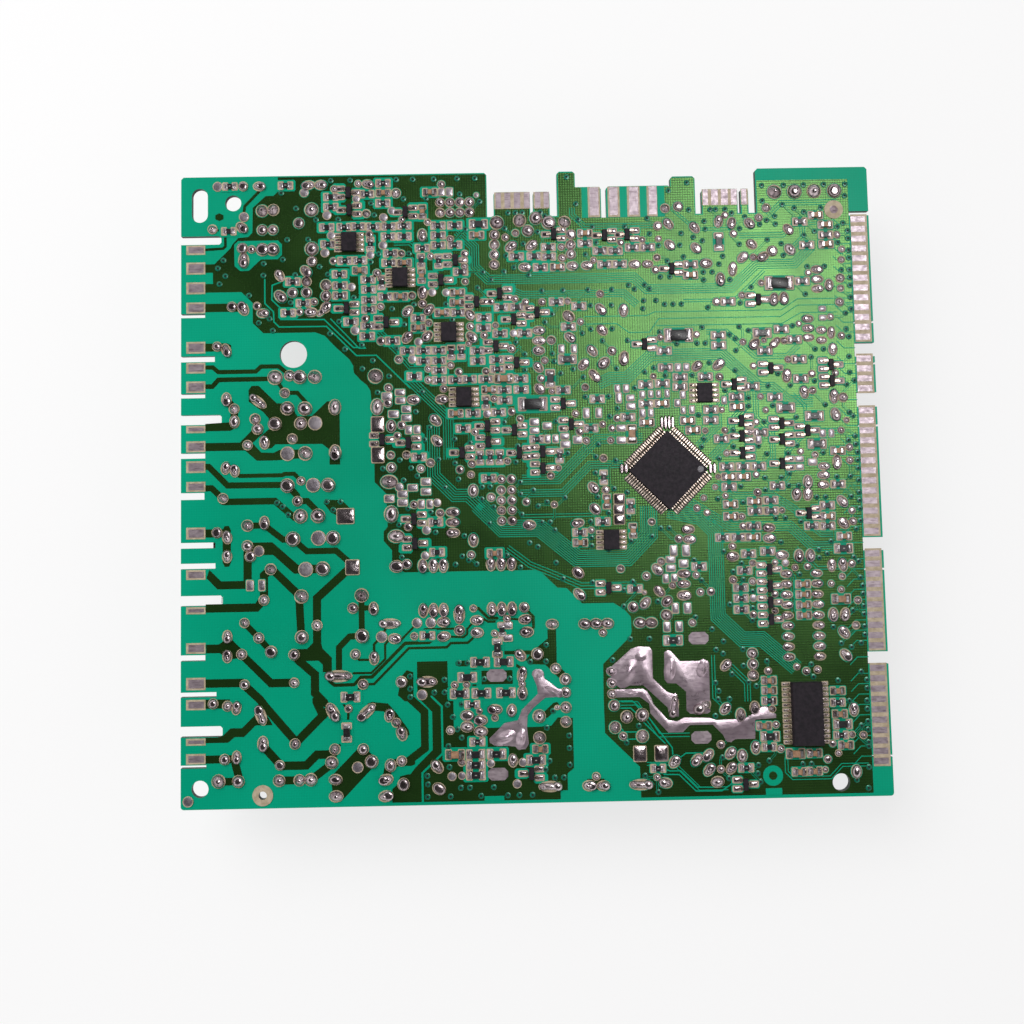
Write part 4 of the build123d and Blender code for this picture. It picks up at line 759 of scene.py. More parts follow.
def pierced(outline: Path, x: float, y: float, radius: float) -> Array:
    """An outline with a round hole, reached by a slit from the nearest corner.

    Args:
        outline: The outline, either way round.
        x: The hole's x.
        y: The hole's y.
        radius: Its radius.

    Returns:
        The outline's points, anticlockwise.
    """
    corners = anticlockwise(outline)
    away = corners - (x, y)
    near = int(np.argmin(np.linalg.norm(away, axis=1)))
    angle = math.atan2(away[near, 1], away[near, 0]) - np.linspace(0, 2 * math.pi, 25)
    rim = np.column_stack([x + radius * np.cos(angle), y + radius * np.sin(angle)])
    return np.vstack([corners[:near + 1], rim, corners[near:]])


def inset(outline: Array, step: float) -> Array:
    """An outline drawn in: each corner moves along the bisector of its two sides.

    Args:
        outline: The outline, anticlockwise.
        step: How far its sides move.

    Returns:
        The new points.
    """
    run = np.roll(outline, -1, axis=0) - outline
    run /= np.linalg.norm(run, axis=1, keepdims=True)
    normal = np.column_stack([-run[:, 1], run[:, 0]])
    before = np.roll(normal, 1, axis=0)
    bisector = (before + normal) / (1 + np.sum(before * normal, axis=1, keepdims=True)).clip(0.6)
    return outline + bisector * step


def rounded(length: float, width: float, corner: float, steps: int = 2) -> Array:
    """A rectangle with rounded corners: a quarter circle about each corner's centre.

    Args:
        length: Its size along x.
        width: Its size along y.
        corner: Radius of the corners.
        steps: Steps in each corner.

    Returns:
        The outline's points.
    """
    corner = min(corner, length / 2 - 1e-3, width / 2 - 1e-3)
    angle = (np.arange(4)[:, None] + np.linspace(0, 1, steps + 1)[None]) * math.pi / 2
    signs = np.array([(1, 1), (-1, 1), (-1, -1), (1, -1)], dtype=float)[:, None]
    centre = signs * np.array([length / 2 - corner, width / 2 - corner])
    arcs = centre + corner * np.stack([np.cos(angle), np.sin(angle)], axis=-1)
    return arcs.reshape(-1, 2)


def tapered(sections: Sequence[tuple[float, float, float, float]], steps: int = 1) -> Shell:
    """A block whose section changes with height.

    Args:
        sections: Length, width, corner radius and height, from the lowest up.
        steps: Steps in each rounded corner.

    Returns:
        The closed shell.
    """
    around = 4 * (steps + 1)
    return lofted(np.array([np.column_stack([rounded(a, b, r, steps), np.full(around, z)])
                            for a, b, r, z in sections]))


def slab(length: float, width: float, corner: float, low: float = 0.0, high: float = 1.0) -> Shell:
    """An upright block with rounded corners."""
    return tapered([(length, width, corner, low), (length, width, corner, high)])


def bisectors(line: Array) -> tuple[Array, Array]:
    """Directions along a path, and side steps at its points.

    A side step lies on the bisector of the two runs that meet, and its length is one over the
    cosine of half the bend, so that a line moved by it stays parallel.

    Args:
        line: The path's points.

    Returns:
        A unit vector for each run, and a side step for each point.
    """
    run = np.diff(line, axis=0)
    run /= np.linalg.norm(run, axis=1, keepdims=True)
    normal = np.column_stack([-run[:, 1], run[:, 0]])
    before, after = np.vstack([normal[:1], normal]), np.vstack([normal, normal[-1:]])
    bisector = before + after
    bisector /= (1 + np.sum(before * after, axis=1, keepdims=True)).clip(0.35)
    return run, bisector


def ribbon(path: Path, width: float) -> Array:
    """Outline of a track of even width along a path, with both ends as blunt half rounds.

    Args:
        path: The track's middle line.
        width: Its width.

    Returns:
        The outline's points.
    """
    line = points_of(path)
    run, bisector = bisectors(line)
    half = width / 2
    side = bisector * width / 2
    first, last = line[0] - run[0] * half, line[-1] + run[-1] * half
    ends = [last + side[-1] * 0.5, last + side[-1] * -0.5]
    starts = [first + side[0] * -0.5, first + side[0] * 0.5]
    return np.vstack([line + side, ends, (line - side)[::-1], starts])


def inside(points: Array, outline: Path) -> Array:
    """Which points lie within an outline: an odd number of its sides cross a ray to the east.

    Args:
        points: Rows of x, y and anything more.
        outline: The outline.

    Returns:
        True or false for each point.
    """
    corners = points_of(outline)
    following = np.roll(corners, -1, axis=0)
    x, y = points[:, :1], points[:, 1:2]
    spans = (corners[:, 1] > y) != (following[:, 1] > y)
    rise = following[:, 1] - corners[:, 1]
    rise = np.where(rise == 0, 1e-9, rise)
    crossing = (following[:, 0] - corners[:, 0]) * (y - corners[:, 1]) / rise + corners[:, 0]
    return np.sum(spans & (x < crossing), axis=1) % 2 == 1


def unscaled(places: Array, angles: object = 0.0) -> Array:
    """Rows for copies in full size on the solder face."""
    rows = np.ones((len(places), 7))
    rows[:, :2], rows[:, 2], rows[:, 3] = places, 0.0, angles
    return rows


def loosened(x: Array) -> Array:
    """Scale of the clearances round parts: more in the west, where pours keep further off."""
    return np.where(x < WEST_FIELD, WEST_SCALE, 1.0)


def staggered(count: int, shift: int = 0) -> Array:
    """Tiny steps in height, so that hardly any two thin plates of a layer share a plane."""
    return ((np.arange(count) * 37 + shift * 61) % 199) * 0.0002


# ---- pieces --------------------------------------------------------------------------------------


class Assembly:
    """A group of pieces that go on the board."""

    def put(self, name: str, shell: Shell, finish: Finish, slot: str,
            replaces: Sequence[str] = (), sharp: float = 38.0) -> bpy.types.Object:
        """Makes a piece from a shell and ties it to the board.

        Args:
            name: The piece's name.
            shell: Its surface in the board's millimetres.
            finish: Its finish.
            slot: Not used.
            replaces: CAD nodes that it stands for.
            sharp: Edges that bend more than so many degrees stay crisp.

        Returns:
            The new object.
        """
        mesh = bpy.data.meshes.new(name)
        mesh.vertices.add(len(shell.points))
        mesh.vertices.foreach_set("co", PLANE.to_metres(shell.points).astype(np.float32).ravel())
        mesh.loops.add(len(shell.corners))
        mesh.loops.foreach_set("vertex_index", shell.corners.astype(np.int32))
        mesh.polygons.add(len(shell.sizes))
        starts = np.concatenate([[0], np.cumsum(shell.sizes)[:-1]])
        mesh.polygons.foreach_set("loop_start", starts.astype(np.int32))
        mesh.polygons.foreach_set("use_smooth", np.ones(len(shell.sizes), dtype=bool))
        mesh.update(calc_edges=True)
        mesh.set_sharp_from_angle(angle=math.radians(sharp))
        mesh.materials.append(finish.material())
        piece = bpy.data.objects.new(name, mesh)
        bpy.context.scene.collection.objects.link(piece)
        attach(piece, "root")
        if replaces:
            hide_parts(*replaces)
        LOG.info("%s: %d faces", name, len(shell.sizes))
        return piece

    def surround(self, name: str, rims: Shell, clear: Shell, rows: Array, shift: int) -> None:
        """Puts the bare rims round the pads of some parts, and the laminate that pours keep off.

        Args:
            name: What the parts are.
            rims: One part's rims, a millimetre high.
            clear: One part's clearance, a millimetre high.
            rows: Rows for copies.
            shift: Where the small steps in height start.
        """
        low = rows.copy()
        low[:, 6] = Level.RIM.value + staggered(len(rows), shift)
        self.put(f"{name}_rims", rims.copies(low), MASK_RIM, "bare")
        low[:, 6] = Level.CLEARANCE.value + staggered(len(rows), shift + 1)
        low[:, 4:6] = loosened(rows[:, :1])
        self.put(f"{name}_clearances", clear.copies(low), MASK, "laminate")

    @staticmethod
    def dress(node: str, finish: Finish) -> None:
        """Gives a CAD node that stays its finish.

        Args:
            node: The node's name.
            finish: Its finish.
        """
        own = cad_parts[node]
        if own.material_slots:
            own.material_slots[0].material = finish.material()
        else:
            own.data.materials.append(finish.material())
        LOG.info("%s dressed in %s", node, finish.name)


# ---- artwork, as outlines and paths --------------------------------------------------------------

# outlines and middle lines give x and y of one point after the other
# wide copper areas; the first is the signal side, the rest belong to the mains and supply side
POURS = [
    [24.35, 156.1, 24.35, 152.4, 23.2, 151.35, 21.3, 151.35, 18, 148.35, 17.9, 142, 16.8, 140.9,
     14.3, 140.7, 12.8, 139, 12.4, 138.1, 8.35, 134.1, 6, 134.1, 6, 131.95, 7.95, 131.95, 8, 129.1,
     6, 129.1, 6, 126.9, 15.1, 126.9, 17.9, 124.1, 17.9, 119, 20.55, 116.4, 33.5, 116.4, 35.85, 115.5,
     38.55, 112.6, 42, 109.4, 42.9, 107.85, 43, 106.1, 44.7, 104.2, 46.3, 102.85, 47.1, 101.5, 47.3, 99.6,
     47.5, 95, 47.9, 83.5, 47.9, 78.7, 50.8, 75.7, 51, 67.6, 50, 66.4, 50, 64.1, 52, 61.8, 52, 59.2,
     53.4, 57.6, 55, 56.3, 87, 56.3, 88.5, 55.9, 92.6, 51.9, 94.9, 51.7, 98.6, 47.9, 106.3, 47.9,
     109, 46.2, 110.5, 44.4, 110.6, 40.8, 110.2, 39.6, 103.4, 33.05, 103.3, 25, 103.4, 16.4, 110.3, 9.6,
     110.9, 8.9, 111.7, 8.2, 111.8, 0.8, 160.75, 0.8, 168.5, 0.8, 168.5, 153.3, 145.4, 153.3,
     145.4, 144.7, 142.9, 144.7, 142.9, 147.1, 141.5, 147.1, 141.5, 144.7, 140.2, 144.7, 140.2, 147.1,
     131.6, 147.1, 131.6, 144.7, 129.5, 144.7, 129.5, 154.4, 123.7, 154.4, 123.7, 152.1, 122, 152.1,
     122, 144.4, 101, 144.4, 101, 152.1, 99.2, 152.4, 99.2, 156.1, 95.1, 156.1, 95.1, 144.7, 92.6, 144.7,
     92.6, 147.1, 89, 147.1, 89, 144.7, 87.7, 144.7, 87.7, 147, 79, 147, 79, 144.7, 76.8, 144.7,
     76.8, 156.1],
    [16.8, 102.2, 17.6, 103.2, 19.3, 103.2, 23.8, 98.7, 25.5, 98.7, 28, 96.9, 28.9, 95.4, 32.5, 95.4,
     36.3, 99, 39.4, 99, 39.4, 83.2, 36.8, 83.2, 36.8, 87, 35, 88.4, 23.4, 88.5, 22.5, 87.6, 21.4, 87.4,
     20, 88.3, 19.6, 90.4, 21.8, 92.3, 21.8, 95, 20.4, 96.6, 16.8, 99.3],
    [6.05, 93.9, 12.2, 94.2, 14, 93, 12.2, 92.05, 6.05, 92.05],
    [6.05, 89.1, 14.6, 89.1, 17.4, 91.9, 18, 93, 20.3, 91.3, 17.7, 88.9, 19.9, 86.5, 23, 86.4, 24.4, 87.1,
     30.7, 87.1, 30.7, 85, 23.4, 84.5, 18.8, 84.5, 15.9, 87.1, 6.05, 87.1],
    [17, 64.3, 22.5, 64.3, 28.9, 58.6, 34.5, 58.6, 34.5, 56.5, 27.8, 56.5, 22.7, 61.2, 17.4, 61.2,
     17.4, 54.9, 17.8, 53, 9, 53, 6.3, 55.8, 7, 57.8, 9.9, 54.95, 15.4, 54.95, 15.4, 62],
    [6.1, 49.4, 18.3, 49.4, 19.4, 51, 21.4, 50, 19, 47.4, 6.1, 47.4],
    [35.2, 73.7, 36, 74.5, 39.7, 74.4, 41.8, 72.3, 38.3, 70.7, 37.1, 71.3],
    [6.2, 39.6, 9.3, 39.6, 10.3, 40.3, 12.5, 40.7, 22.4, 31, 28.5, 31, 28.5, 29, 21.6, 29, 14.4, 36.2,
     12.3, 36, 10.2, 37, 9.5, 37.5, 6.2, 37.5],
    [27, 38.1, 30.9, 38.1, 32.4, 39.6, 34.4, 39.2, 34.7, 38.1, 36.9, 35.9, 36.9, 32.4, 34.7, 32.4,
     34.7, 34.2, 33.7, 35.2, 27.6, 35.2],
    [6.05, 17.2, 9, 17.2, 10.3, 17.6, 12.1, 19.3, 14.9, 19.3, 18.1, 22.4, 20, 24, 22.4, 19.9, 18.2, 19.9,
     15.4, 17.2, 13.1, 17.2, 11.5, 15.9, 6.05, 15.9],
    [6.05, 12.9, 12.5, 12.9, 12.5, 11, 6.05, 11],
    [6.05, 26.3, 12, 26.3, 12, 24.1, 6.05, 24.1],
    [44.2, 14.4, 47.6, 11.5, 47.6, 10.2, 39.8, 2.2, 38.5, 1.5, 36.9, 3, 36.6, 5.5, 37.2, 8, 42.8, 13.6],
    [86.3, 36.7, 87.9, 37.9, 89.9, 39.5, 89.9, 41.7, 92, 41.7, 92, 33.3, 93.95, 31.3, 92.5, 29.85,
     89.15, 33.2, 85, 33.4, 84.5, 34.4],
    [51.3, 0.8, 51.3, 4, 52.5, 5, 53.3, 7, 54.8, 7.4, 55.8, 7.5, 57, 9, 61.3, 13.2, 61.3, 22.3, 57.75, 26,
     57.75, 34.5, 65.2, 34.5, 65.2, 28.5, 66.5, 27.4, 66.5, 18.2, 86.5, 18.2, 90.3, 18.4, 92, 20.4,
     95.6, 20.2, 95.6, 8.2, 94, 6.9, 94, 2.9, 92.2, 2.9, 92.2, 0.8],
    [53, 26.5, 53.9, 31, 55.2, 32.5, 56.8, 32, 56.8, 24.9, 54.6, 25],
    [73.5, 32, 81.1, 32, 81.1, 28.7, 73.5, 28.7],
    [98.8, 5.5, 103, 5.5, 103, 2.9, 98.8, 2.9],
]
# power tracks as width and middle line
TRACKS = [
    (2.1, [6, 123, 15, 123]), (2, [6, 113, 11.5, 113]),
    (1.05, [6.3, 108, 7.9, 108, 9.3, 106.8, 18.6, 106.8, 19.9, 108, 24.3, 108, 27, 105.8]),
    (1.15, [6.3, 103.2, 7.8, 103.2, 9.3, 104.85, 22, 104.9]), (0.9, [23.4, 105.2, 25.8, 101.3]),
    (1, [25.8, 101.3, 28.9, 101.3, 31, 98.9]), (1.9, [11.3, 99.8, 13.2, 97.5, 13.25, 94.3]),
    (1.5, [6.05, 83.2, 6.9, 83.2, 11.5, 78.5, 26, 78.4]),
    (1, [13.3, 81.9, 14.5, 80.8, 25.1, 80.8, 25.6, 81.1, 28, 81.1, 29.6, 79.4]),
    (1.5, [6.05, 77.9, 7.6, 77.9, 10.3, 75.3]), (1.6, [10.4, 74.45, 23.2, 74.45, 28.2, 70.1]),
    (1.6, [26.3, 78.2, 28.7, 75.7]), (1.5, [28.8, 74.3, 31.2, 74.3, 33.4, 72]),
    (2, [6, 66.75, 10.5, 66.75]), (2, [11.3, 67.5, 11.3, 59.5]),
    (1.5, [17.7, 68.45, 20.6, 68.5, 25.2, 64.9, 27.6, 64.9, 31, 61.95, 38.2, 61.95, 42, 58.5]),
    (2, [22.1, 57.7, 20.4, 56.2, 20.4, 50.2]), (1.9, [22.9, 57.2, 29, 51.2, 29.5, 41]),
    (2, [41.5, 57.6, 33.4, 50.4, 33.35, 38.5]), (1.5, [15.5, 44.75, 19.05, 41.05, 22.1, 37.6]),
    (2, [6.2, 30.2, 14.9, 30.2, 19.4, 26]), (2, [28.5, 35.6, 32.75, 31.9, 32.75, 27.4, 35.1, 24.95]),
    (1.45, [44.3, 50, 44.35, 42]), (1.3, [45.1, 47.8, 46.2, 47.8]),
    (1.5, [43, 41, 41.3, 40.9, 38.7, 38.3, 38.65, 32]),
    (0.6, [50.3, 42.9, 49.1, 40.75, 47.3, 38.9, 47.3, 37.2]), (0.55, [42.65, 36.5, 43.6, 35.2, 46.2, 35.2]),
    (0.55, [52, 40, 50.7, 39.6, 50, 38.8, 50, 35.3, 46.6, 32, 42.2, 32]),
    (0.8, [36.3, 30.2, 37.5, 29.2, 42.3, 29.25, 44, 31, 46.7, 31, 54.9, 39, 60.8, 39.1, 61.6, 39.8]),
    (0.6, [45.6, 29.3, 47.2, 29.3, 55.8, 37.8, 65.1, 37.85, 66.1, 38.85, 70.3, 38.85, 71.5, 39.9]),
    (0.5, [54, 39.9, 57, 42.9]), (0.55, [44.5, 29.25, 42.9, 27.5]),
    (0.5, [59.3, 41.9, 59.8, 42.35, 67, 42.35]),
    (0.5, [66, 40.4, 69.3, 40.2, 70.2, 41, 70.2, 42.2, 71.3, 43.4]),
    (0.7, [71.75, 47.2, 73, 47.2, 75.5, 44.7, 77.6, 44.7]),
    (0.6, [74, 44.7, 75.4, 43.9, 77.3, 43.9, 79.5, 44.4]), (0.5, [80.7, 44.5, 82.8, 44.3]),
    (0.65, [84.3, 47.2, 86.5, 44.9, 86.5, 42.3, 84.8, 41.2]), (1, [79, 36.2, 86, 36.2]),
    (1.4, [67.9, 33.85, 71, 33.85]), (1, [71.7, 32.8, 71.7, 28.2]), (0.7, [82, 33.2, 83, 32.6]),
    (1.9, [13.2, 11, 13.6, 9.5, 14.4, 6.6]), (1.8, [9.2, 6.6, 14, 6.6]),
    (2, [19.4, 26, 20.5, 24.5, 27.8, 16]), (2, [28.5, 16, 34.6, 22, 36.3, 23.5]), (2, [34.6, 22, 33, 25.5]),
    (2, [20, 15, 24.4, 10.1, 30.5, 10.1, 33.1, 12.6, 37, 12.6]), (0.5, [37.5, 13.8, 40, 16]),
    (0.5, [39.5, 25, 40, 24, 40.7, 23.6]), (0.6, [40.9, 23.3, 40.7, 20]),
    (1.9, [23.9, 6.6, 31.6, 6.6, 36.5, 10.2]), (2, [46.5, 24, 50, 23.6, 51.5, 22, 54.7, 17.5]),
    (1.9, [49.8, 6.3, 50.6, 9.7, 53.5, 10.6, 56, 10.4]),
    (1.9, [54.5, 27, 59.4, 22.4, 59.4, 13.6, 55, 10.4]), (1.6, [89, 21, 91.5, 23.3]),
    (0.65, [6.1, 137.8, 10.5, 138.05, 11.1, 138.6, 11.1, 141.5]), (0.5, [9.2, 142.8, 10.3, 142.3]),
    (0.7, [19.6, 152.5, 16, 148.8, 15.8, 147.2]), (2, [9.6, 146.1, 9.61, 146.1]),
]
# gaps in the pours as width and middle line
MOATS = [
    (0.35, [20.95, 130, 20.95, 123.9, 23.1, 121.75, 23.2, 119.2, 24.5, 117.9, 36.3, 117.85,
        43.75, 110.35, 48.7, 110.35, 57, 102]),
    (0.35, [24.9, 129.25, 22.8, 128.5, 22.7, 124.8, 24.9, 122.6, 24.9, 119.8, 35.75, 119.6, 43, 112.4,
        45.8, 112.4, 46, 112.2]),
    (0.3, [37.4, 119.7, 44.4, 112.2, 46, 112.2]),
    (0.5, [61.2, 26, 63.65, 23.6, 63.7, 12.3, 58.7, 7.7, 58.7, 0.7]),
    (0.3, [107.2, 24, 110.3, 24, 112.2, 22.3]), (0.3, [107.4, 22.3, 109.8, 22.3, 111.2, 21]),
    (0.3, [107.5, 17.3, 108, 16.6, 111.3, 16.5]), (0.3, [108.3, 14.8, 111.4, 14.8]),
    (0.3, [113.9, 20.3, 119.7, 12.6, 119.8, 11]), (0.3, [113, 18.7, 118, 13.7]),
    (0.3, [121.6, 10.2, 123, 11.2, 127, 11.2]), (0.3, [118.2, 7.3, 119, 7, 121.6, 7, 125.6, 3, 130, 2.9]),
    (0.3, [117.5, 6.2, 121.2, 6.1, 125.2, 2.1, 131.5, 2, 134, 3.7]),
]
# parallel gaps as count, pitch and middle line
BUNDLES = [
    (5, 0.55, [69.5, 141.5, 73.6, 137.4, 73.6, 132.4, 77, 129, 113.6, 129, 116.8, 125.9, 138.2, 125.9,
        144.6, 131.8, 154.2, 131.8, 158.6, 136]),
    (4, 0.55, [80.5, 127.2, 85.5, 125, 111, 125, 114.2, 122]),
    (2, 0.6, [126, 122.8, 138.6, 122.8, 142.5, 126.4, 146.5, 130.2]),
    (1, 0.5, [101, 119.2, 116.6, 119.2, 118.6, 120.1, 150.5, 120.1, 154.6, 122.8, 168.2, 122.8]),
    (1, 0.5, [100.5, 117.3, 109, 117.3, 112, 115, 117.2, 115, 119.6, 118.4, 150.2, 118.4, 154.6, 121.2,
        168.2, 121.2]),
    (1, 0.5, [119, 116.6, 150.5, 116.6, 155.3, 119.3, 164.5, 119.3]),
    (6, 0.55, [104, 102.2, 107, 103.6, 111.2, 103.6, 117.3, 109.2, 135, 109.2, 144.5, 100.4,
        147.4, 100.4, 151.5, 97, 157.5, 97]),
    (3, 0.6, [131.5, 114.8, 136.5, 114.8, 143.6, 108.4, 151.6, 108.4, 154.4, 111]),
    (2, 0.6, [123.5, 146.5, 129.5, 141, 139, 141]),
    (3, 0.6, [140.5, 139.2, 151.5, 139.2, 155, 142.3, 160, 142.3]),
    (3, 0.6, [148, 144.2, 151.4, 147.4, 165.5, 147.4]),
    (3, 0.6, [98.5, 147, 98.5, 145.2, 101.5, 142.2, 120, 142.2]),
    (3, 0.6, [152.5, 134.4, 156.6, 138.4, 156.6, 144]),
    (5, 0.55, [114.6, 88.4, 103.2, 88.4, 93.4, 78.6, 84.5, 78.6]),
    (4, 0.55, [109.6, 82, 101.4, 82, 94.6, 75.2, 84, 75.2]),
    (6, 0.6, [62.6, 92.5, 62.6, 80, 67.6, 75, 71, 75, 74.4, 71.6]),
    (9, 0.5, [73.4, 72.6, 79.4, 66.6, 88.5, 66.6, 97.8, 58.9, 110, 58.9, 115.6, 64.5, 115.6, 71.5]),
    (2, 0.7, [84, 69.6, 102.5, 69.6]), (3, 0.7, [80.5, 61.8, 86, 57.6, 92, 55.1, 98.5, 52.2, 112, 52.2]),
    (8, 0.5, [120.5, 70.3, 128.5, 68.4, 132, 64.8, 132, 44, 137.8, 38.4, 142.6, 38.4, 150.8, 31.2]),
    (5, 0.55, [125.5, 72.4, 131.5, 68.6, 136, 66, 150.5, 66, 156, 60.8, 164, 60.8]),
    (4, 0.55, [132.6, 76.6, 137, 73.6, 146.5, 73.6, 152, 70, 155, 66.6, 158.5, 64, 165, 64]),
    (4, 0.55, [131.6, 83.2, 136.8, 88.4, 136.8, 92, 141, 96.2, 141, 99.5]),
    (4, 0.55, [128.5, 86.2, 133.6, 91.3, 133.6, 95.5, 137.6, 99.5]),
    (3, 0.6, [147.5, 75, 150.6, 78.1, 150.6, 84.5, 155.5, 89.4, 163.5, 89.4]),
    (3, 0.6, [143.2, 99.5, 143.2, 93, 147, 89.2, 147, 83, 144, 80]),
    (2, 0.7, [152.5, 98.8, 155.5, 95.8, 155.5, 91]), (2, 0.7, [152, 60.5, 157, 55.5, 163.5, 55.5]),
    (3, 0.6, [146.5, 57.6, 150.9, 53.2, 150.9, 45]),
    (4, 0.6, [48.5, 117, 54.4, 111.1, 57.2, 107.6, 64.5, 107.6]), (5, 0.6, [57, 104, 66.4, 94.6, 66.4, 84]),
    (3, 0.6, [53.5, 138.8, 57.5, 138.8, 59.6, 136.7, 59.6, 131]),
    (3, 0.6, [71.5, 107.8, 80, 107.8, 84.5, 112.3]),
    (2, 0.7, [147.5, 9.6, 147.5, 6.2, 149, 4.7, 158.2, 4.7, 161.1, 7.6, 167.5, 7.6]),
    (2, 0.7, [113.5, 8.8, 120, 8.8, 126.2, 2.6, 133, 2.6]),
    (2, 0.8, [107.5, 23.4, 111.4, 23.4, 116.6, 15.6, 124, 15.6]),
    (3, 0.7, [133.5, 33, 138.6, 27.9, 138.6, 23.4]), (2, 0.7, [130.4, 34.6, 130.4, 24.4, 134.2, 20.6]),
]
# bare laminate within the pours
BARE = [
    [14.3, 139.9, 24.3, 139.9, 25.3, 138.9, 25.3, 136.2, 24.2, 135.1, 20, 135.1, 17, 132.3, 14.9, 132.2,
     13.4, 133.5, 13.3, 139],
    [73.7, 0.75, 78.5, 0.75, 78.5, 1.9, 73.7, 1.9],
    [142.2, 0.7, 146.2, 0.7, 146.2, 2.4, 142.2, 2.4],
]
# bare windows of the top edge's contacts as west, south, east and north
TOP_WINDOWS = [
    (78.9, 147, 87.9, 151.3), (88.8, 147, 92.8, 151.25), (102.55, 144.5, 105.65, 152.3),
    (107.6, 144.5, 110.6, 152.3), (112.5, 144.5, 115.7, 152.3), (117.5, 144.5, 120.1, 152.3),
    (131.45, 147.1, 140.35, 151.25), (141.3, 147.1, 143.1, 151.25),
]
# tinned areas, each as its outline
TINNED = [
    [104.6, 31.6, 105.6, 32.6, 110.3, 36.6, 112, 37.2, 114.9, 37, 115.5, 36.2, 115.5, 29.4, 118.9, 26,
     120.8, 25.4, 121.7, 24.2, 121.6, 20, 119.2, 20, 118.9, 22.2, 113.1, 27.7, 105.6, 27.7, 104.7, 28.4,
     105.2, 29.8],
    [118.4, 35.6, 119.2, 36.2, 120.1, 35.9, 122.2, 33.4, 129, 33.4, 129.4, 32.8, 129.3, 21, 128.6, 20.6,
     124.4, 20.6, 123.5, 21.4, 123.5, 26, 121.2, 28, 119, 28.1, 118.3, 29],
    [104.6, 26.4, 105.6, 26.9, 113, 26.9, 114, 26.3, 115, 24.6, 115.4, 23.2, 118.9, 19.3, 121.2, 18.9,
     122.8, 19.8, 129, 19.6, 130.6, 19, 137.5, 19.2, 138.9, 19.9, 142, 22, 143.3, 22, 143.9, 20.8,
     145.4, 20.2, 145.4, 19.2, 140.3, 18.9, 140.1, 14.3, 135.2, 14.3, 134.2, 13.6, 133, 13.7, 132.2, 15.4,
     129.8, 17.9, 124.2, 17.9, 122.4, 16.2, 118.9, 16.2, 114.6, 20.9, 114.4, 23.2, 112.2, 24.9,
     105.6, 24.9, 104.6, 25.4],
    [86.2, 31.6, 87.3, 32.2, 88.4, 31.6, 88.9, 29.9, 92.1, 27.4, 94.6, 26.8, 94.6, 25.4, 89, 25.2,
     86, 22.8, 84.6, 21, 84.4, 18.4, 84.8, 14.2, 83.9, 12.9, 82.8, 12.9, 81.4, 13.6, 76.2, 14.1,
     75.2, 14.6, 75.1, 15.6, 78.9, 19.3, 82.2, 19.9, 83.2, 22.4, 87.2, 26.2, 87, 28, 86.2, 30],
]
# swells of solder on them as x, y, length, width, angle in degrees, height
SWELLS = [
    (109.4, 30.9, 7.4, 4.6, 62, 0.8), (112.6, 34.6, 3.6, 3, 0, 0.4), (105.5, 31.2, 2.6, 2.2, 0, 0.8),
    (105.5, 28.7, 2.4, 1.9, 0, 0.7), (105.4, 25.9, 2.2, 1.9, 0, 0.7), (109.6, 25.9, 5, 1.8, 0, 0.7),
    (119.9, 31.4, 5.8, 3, 84, 1), (127.6, 31.3, 4.2, 2.9, 80, 1), (127.2, 22.2, 4.4, 2.9, 35, 0.9),
    (120.4, 22.6, 5.2, 1.9, 82, 0.9), (87.3, 30.9, 2.5, 2.3, 0, 0.7), (90.8, 26.8, 4.8, 1.8, -28, 0.8),
    (94, 26.1, 2.1, 1.9, 0, 0.8), (78.9, 15.9, 6.2, 3.6, 24, 0.9), (82.9, 15.6, 5, 2.8, 82, 0.9),
    (164.7, 145.5, 1.9, 1.9, 0, 0.9),
]
# hole in the main pour as x, y and radius; the ring mark as x, y and its two diameters
CORNER_HOLE = (160.75, 3.45, 2.15)
RING_MARK = (144.1, 5.4, 4.9, 2)
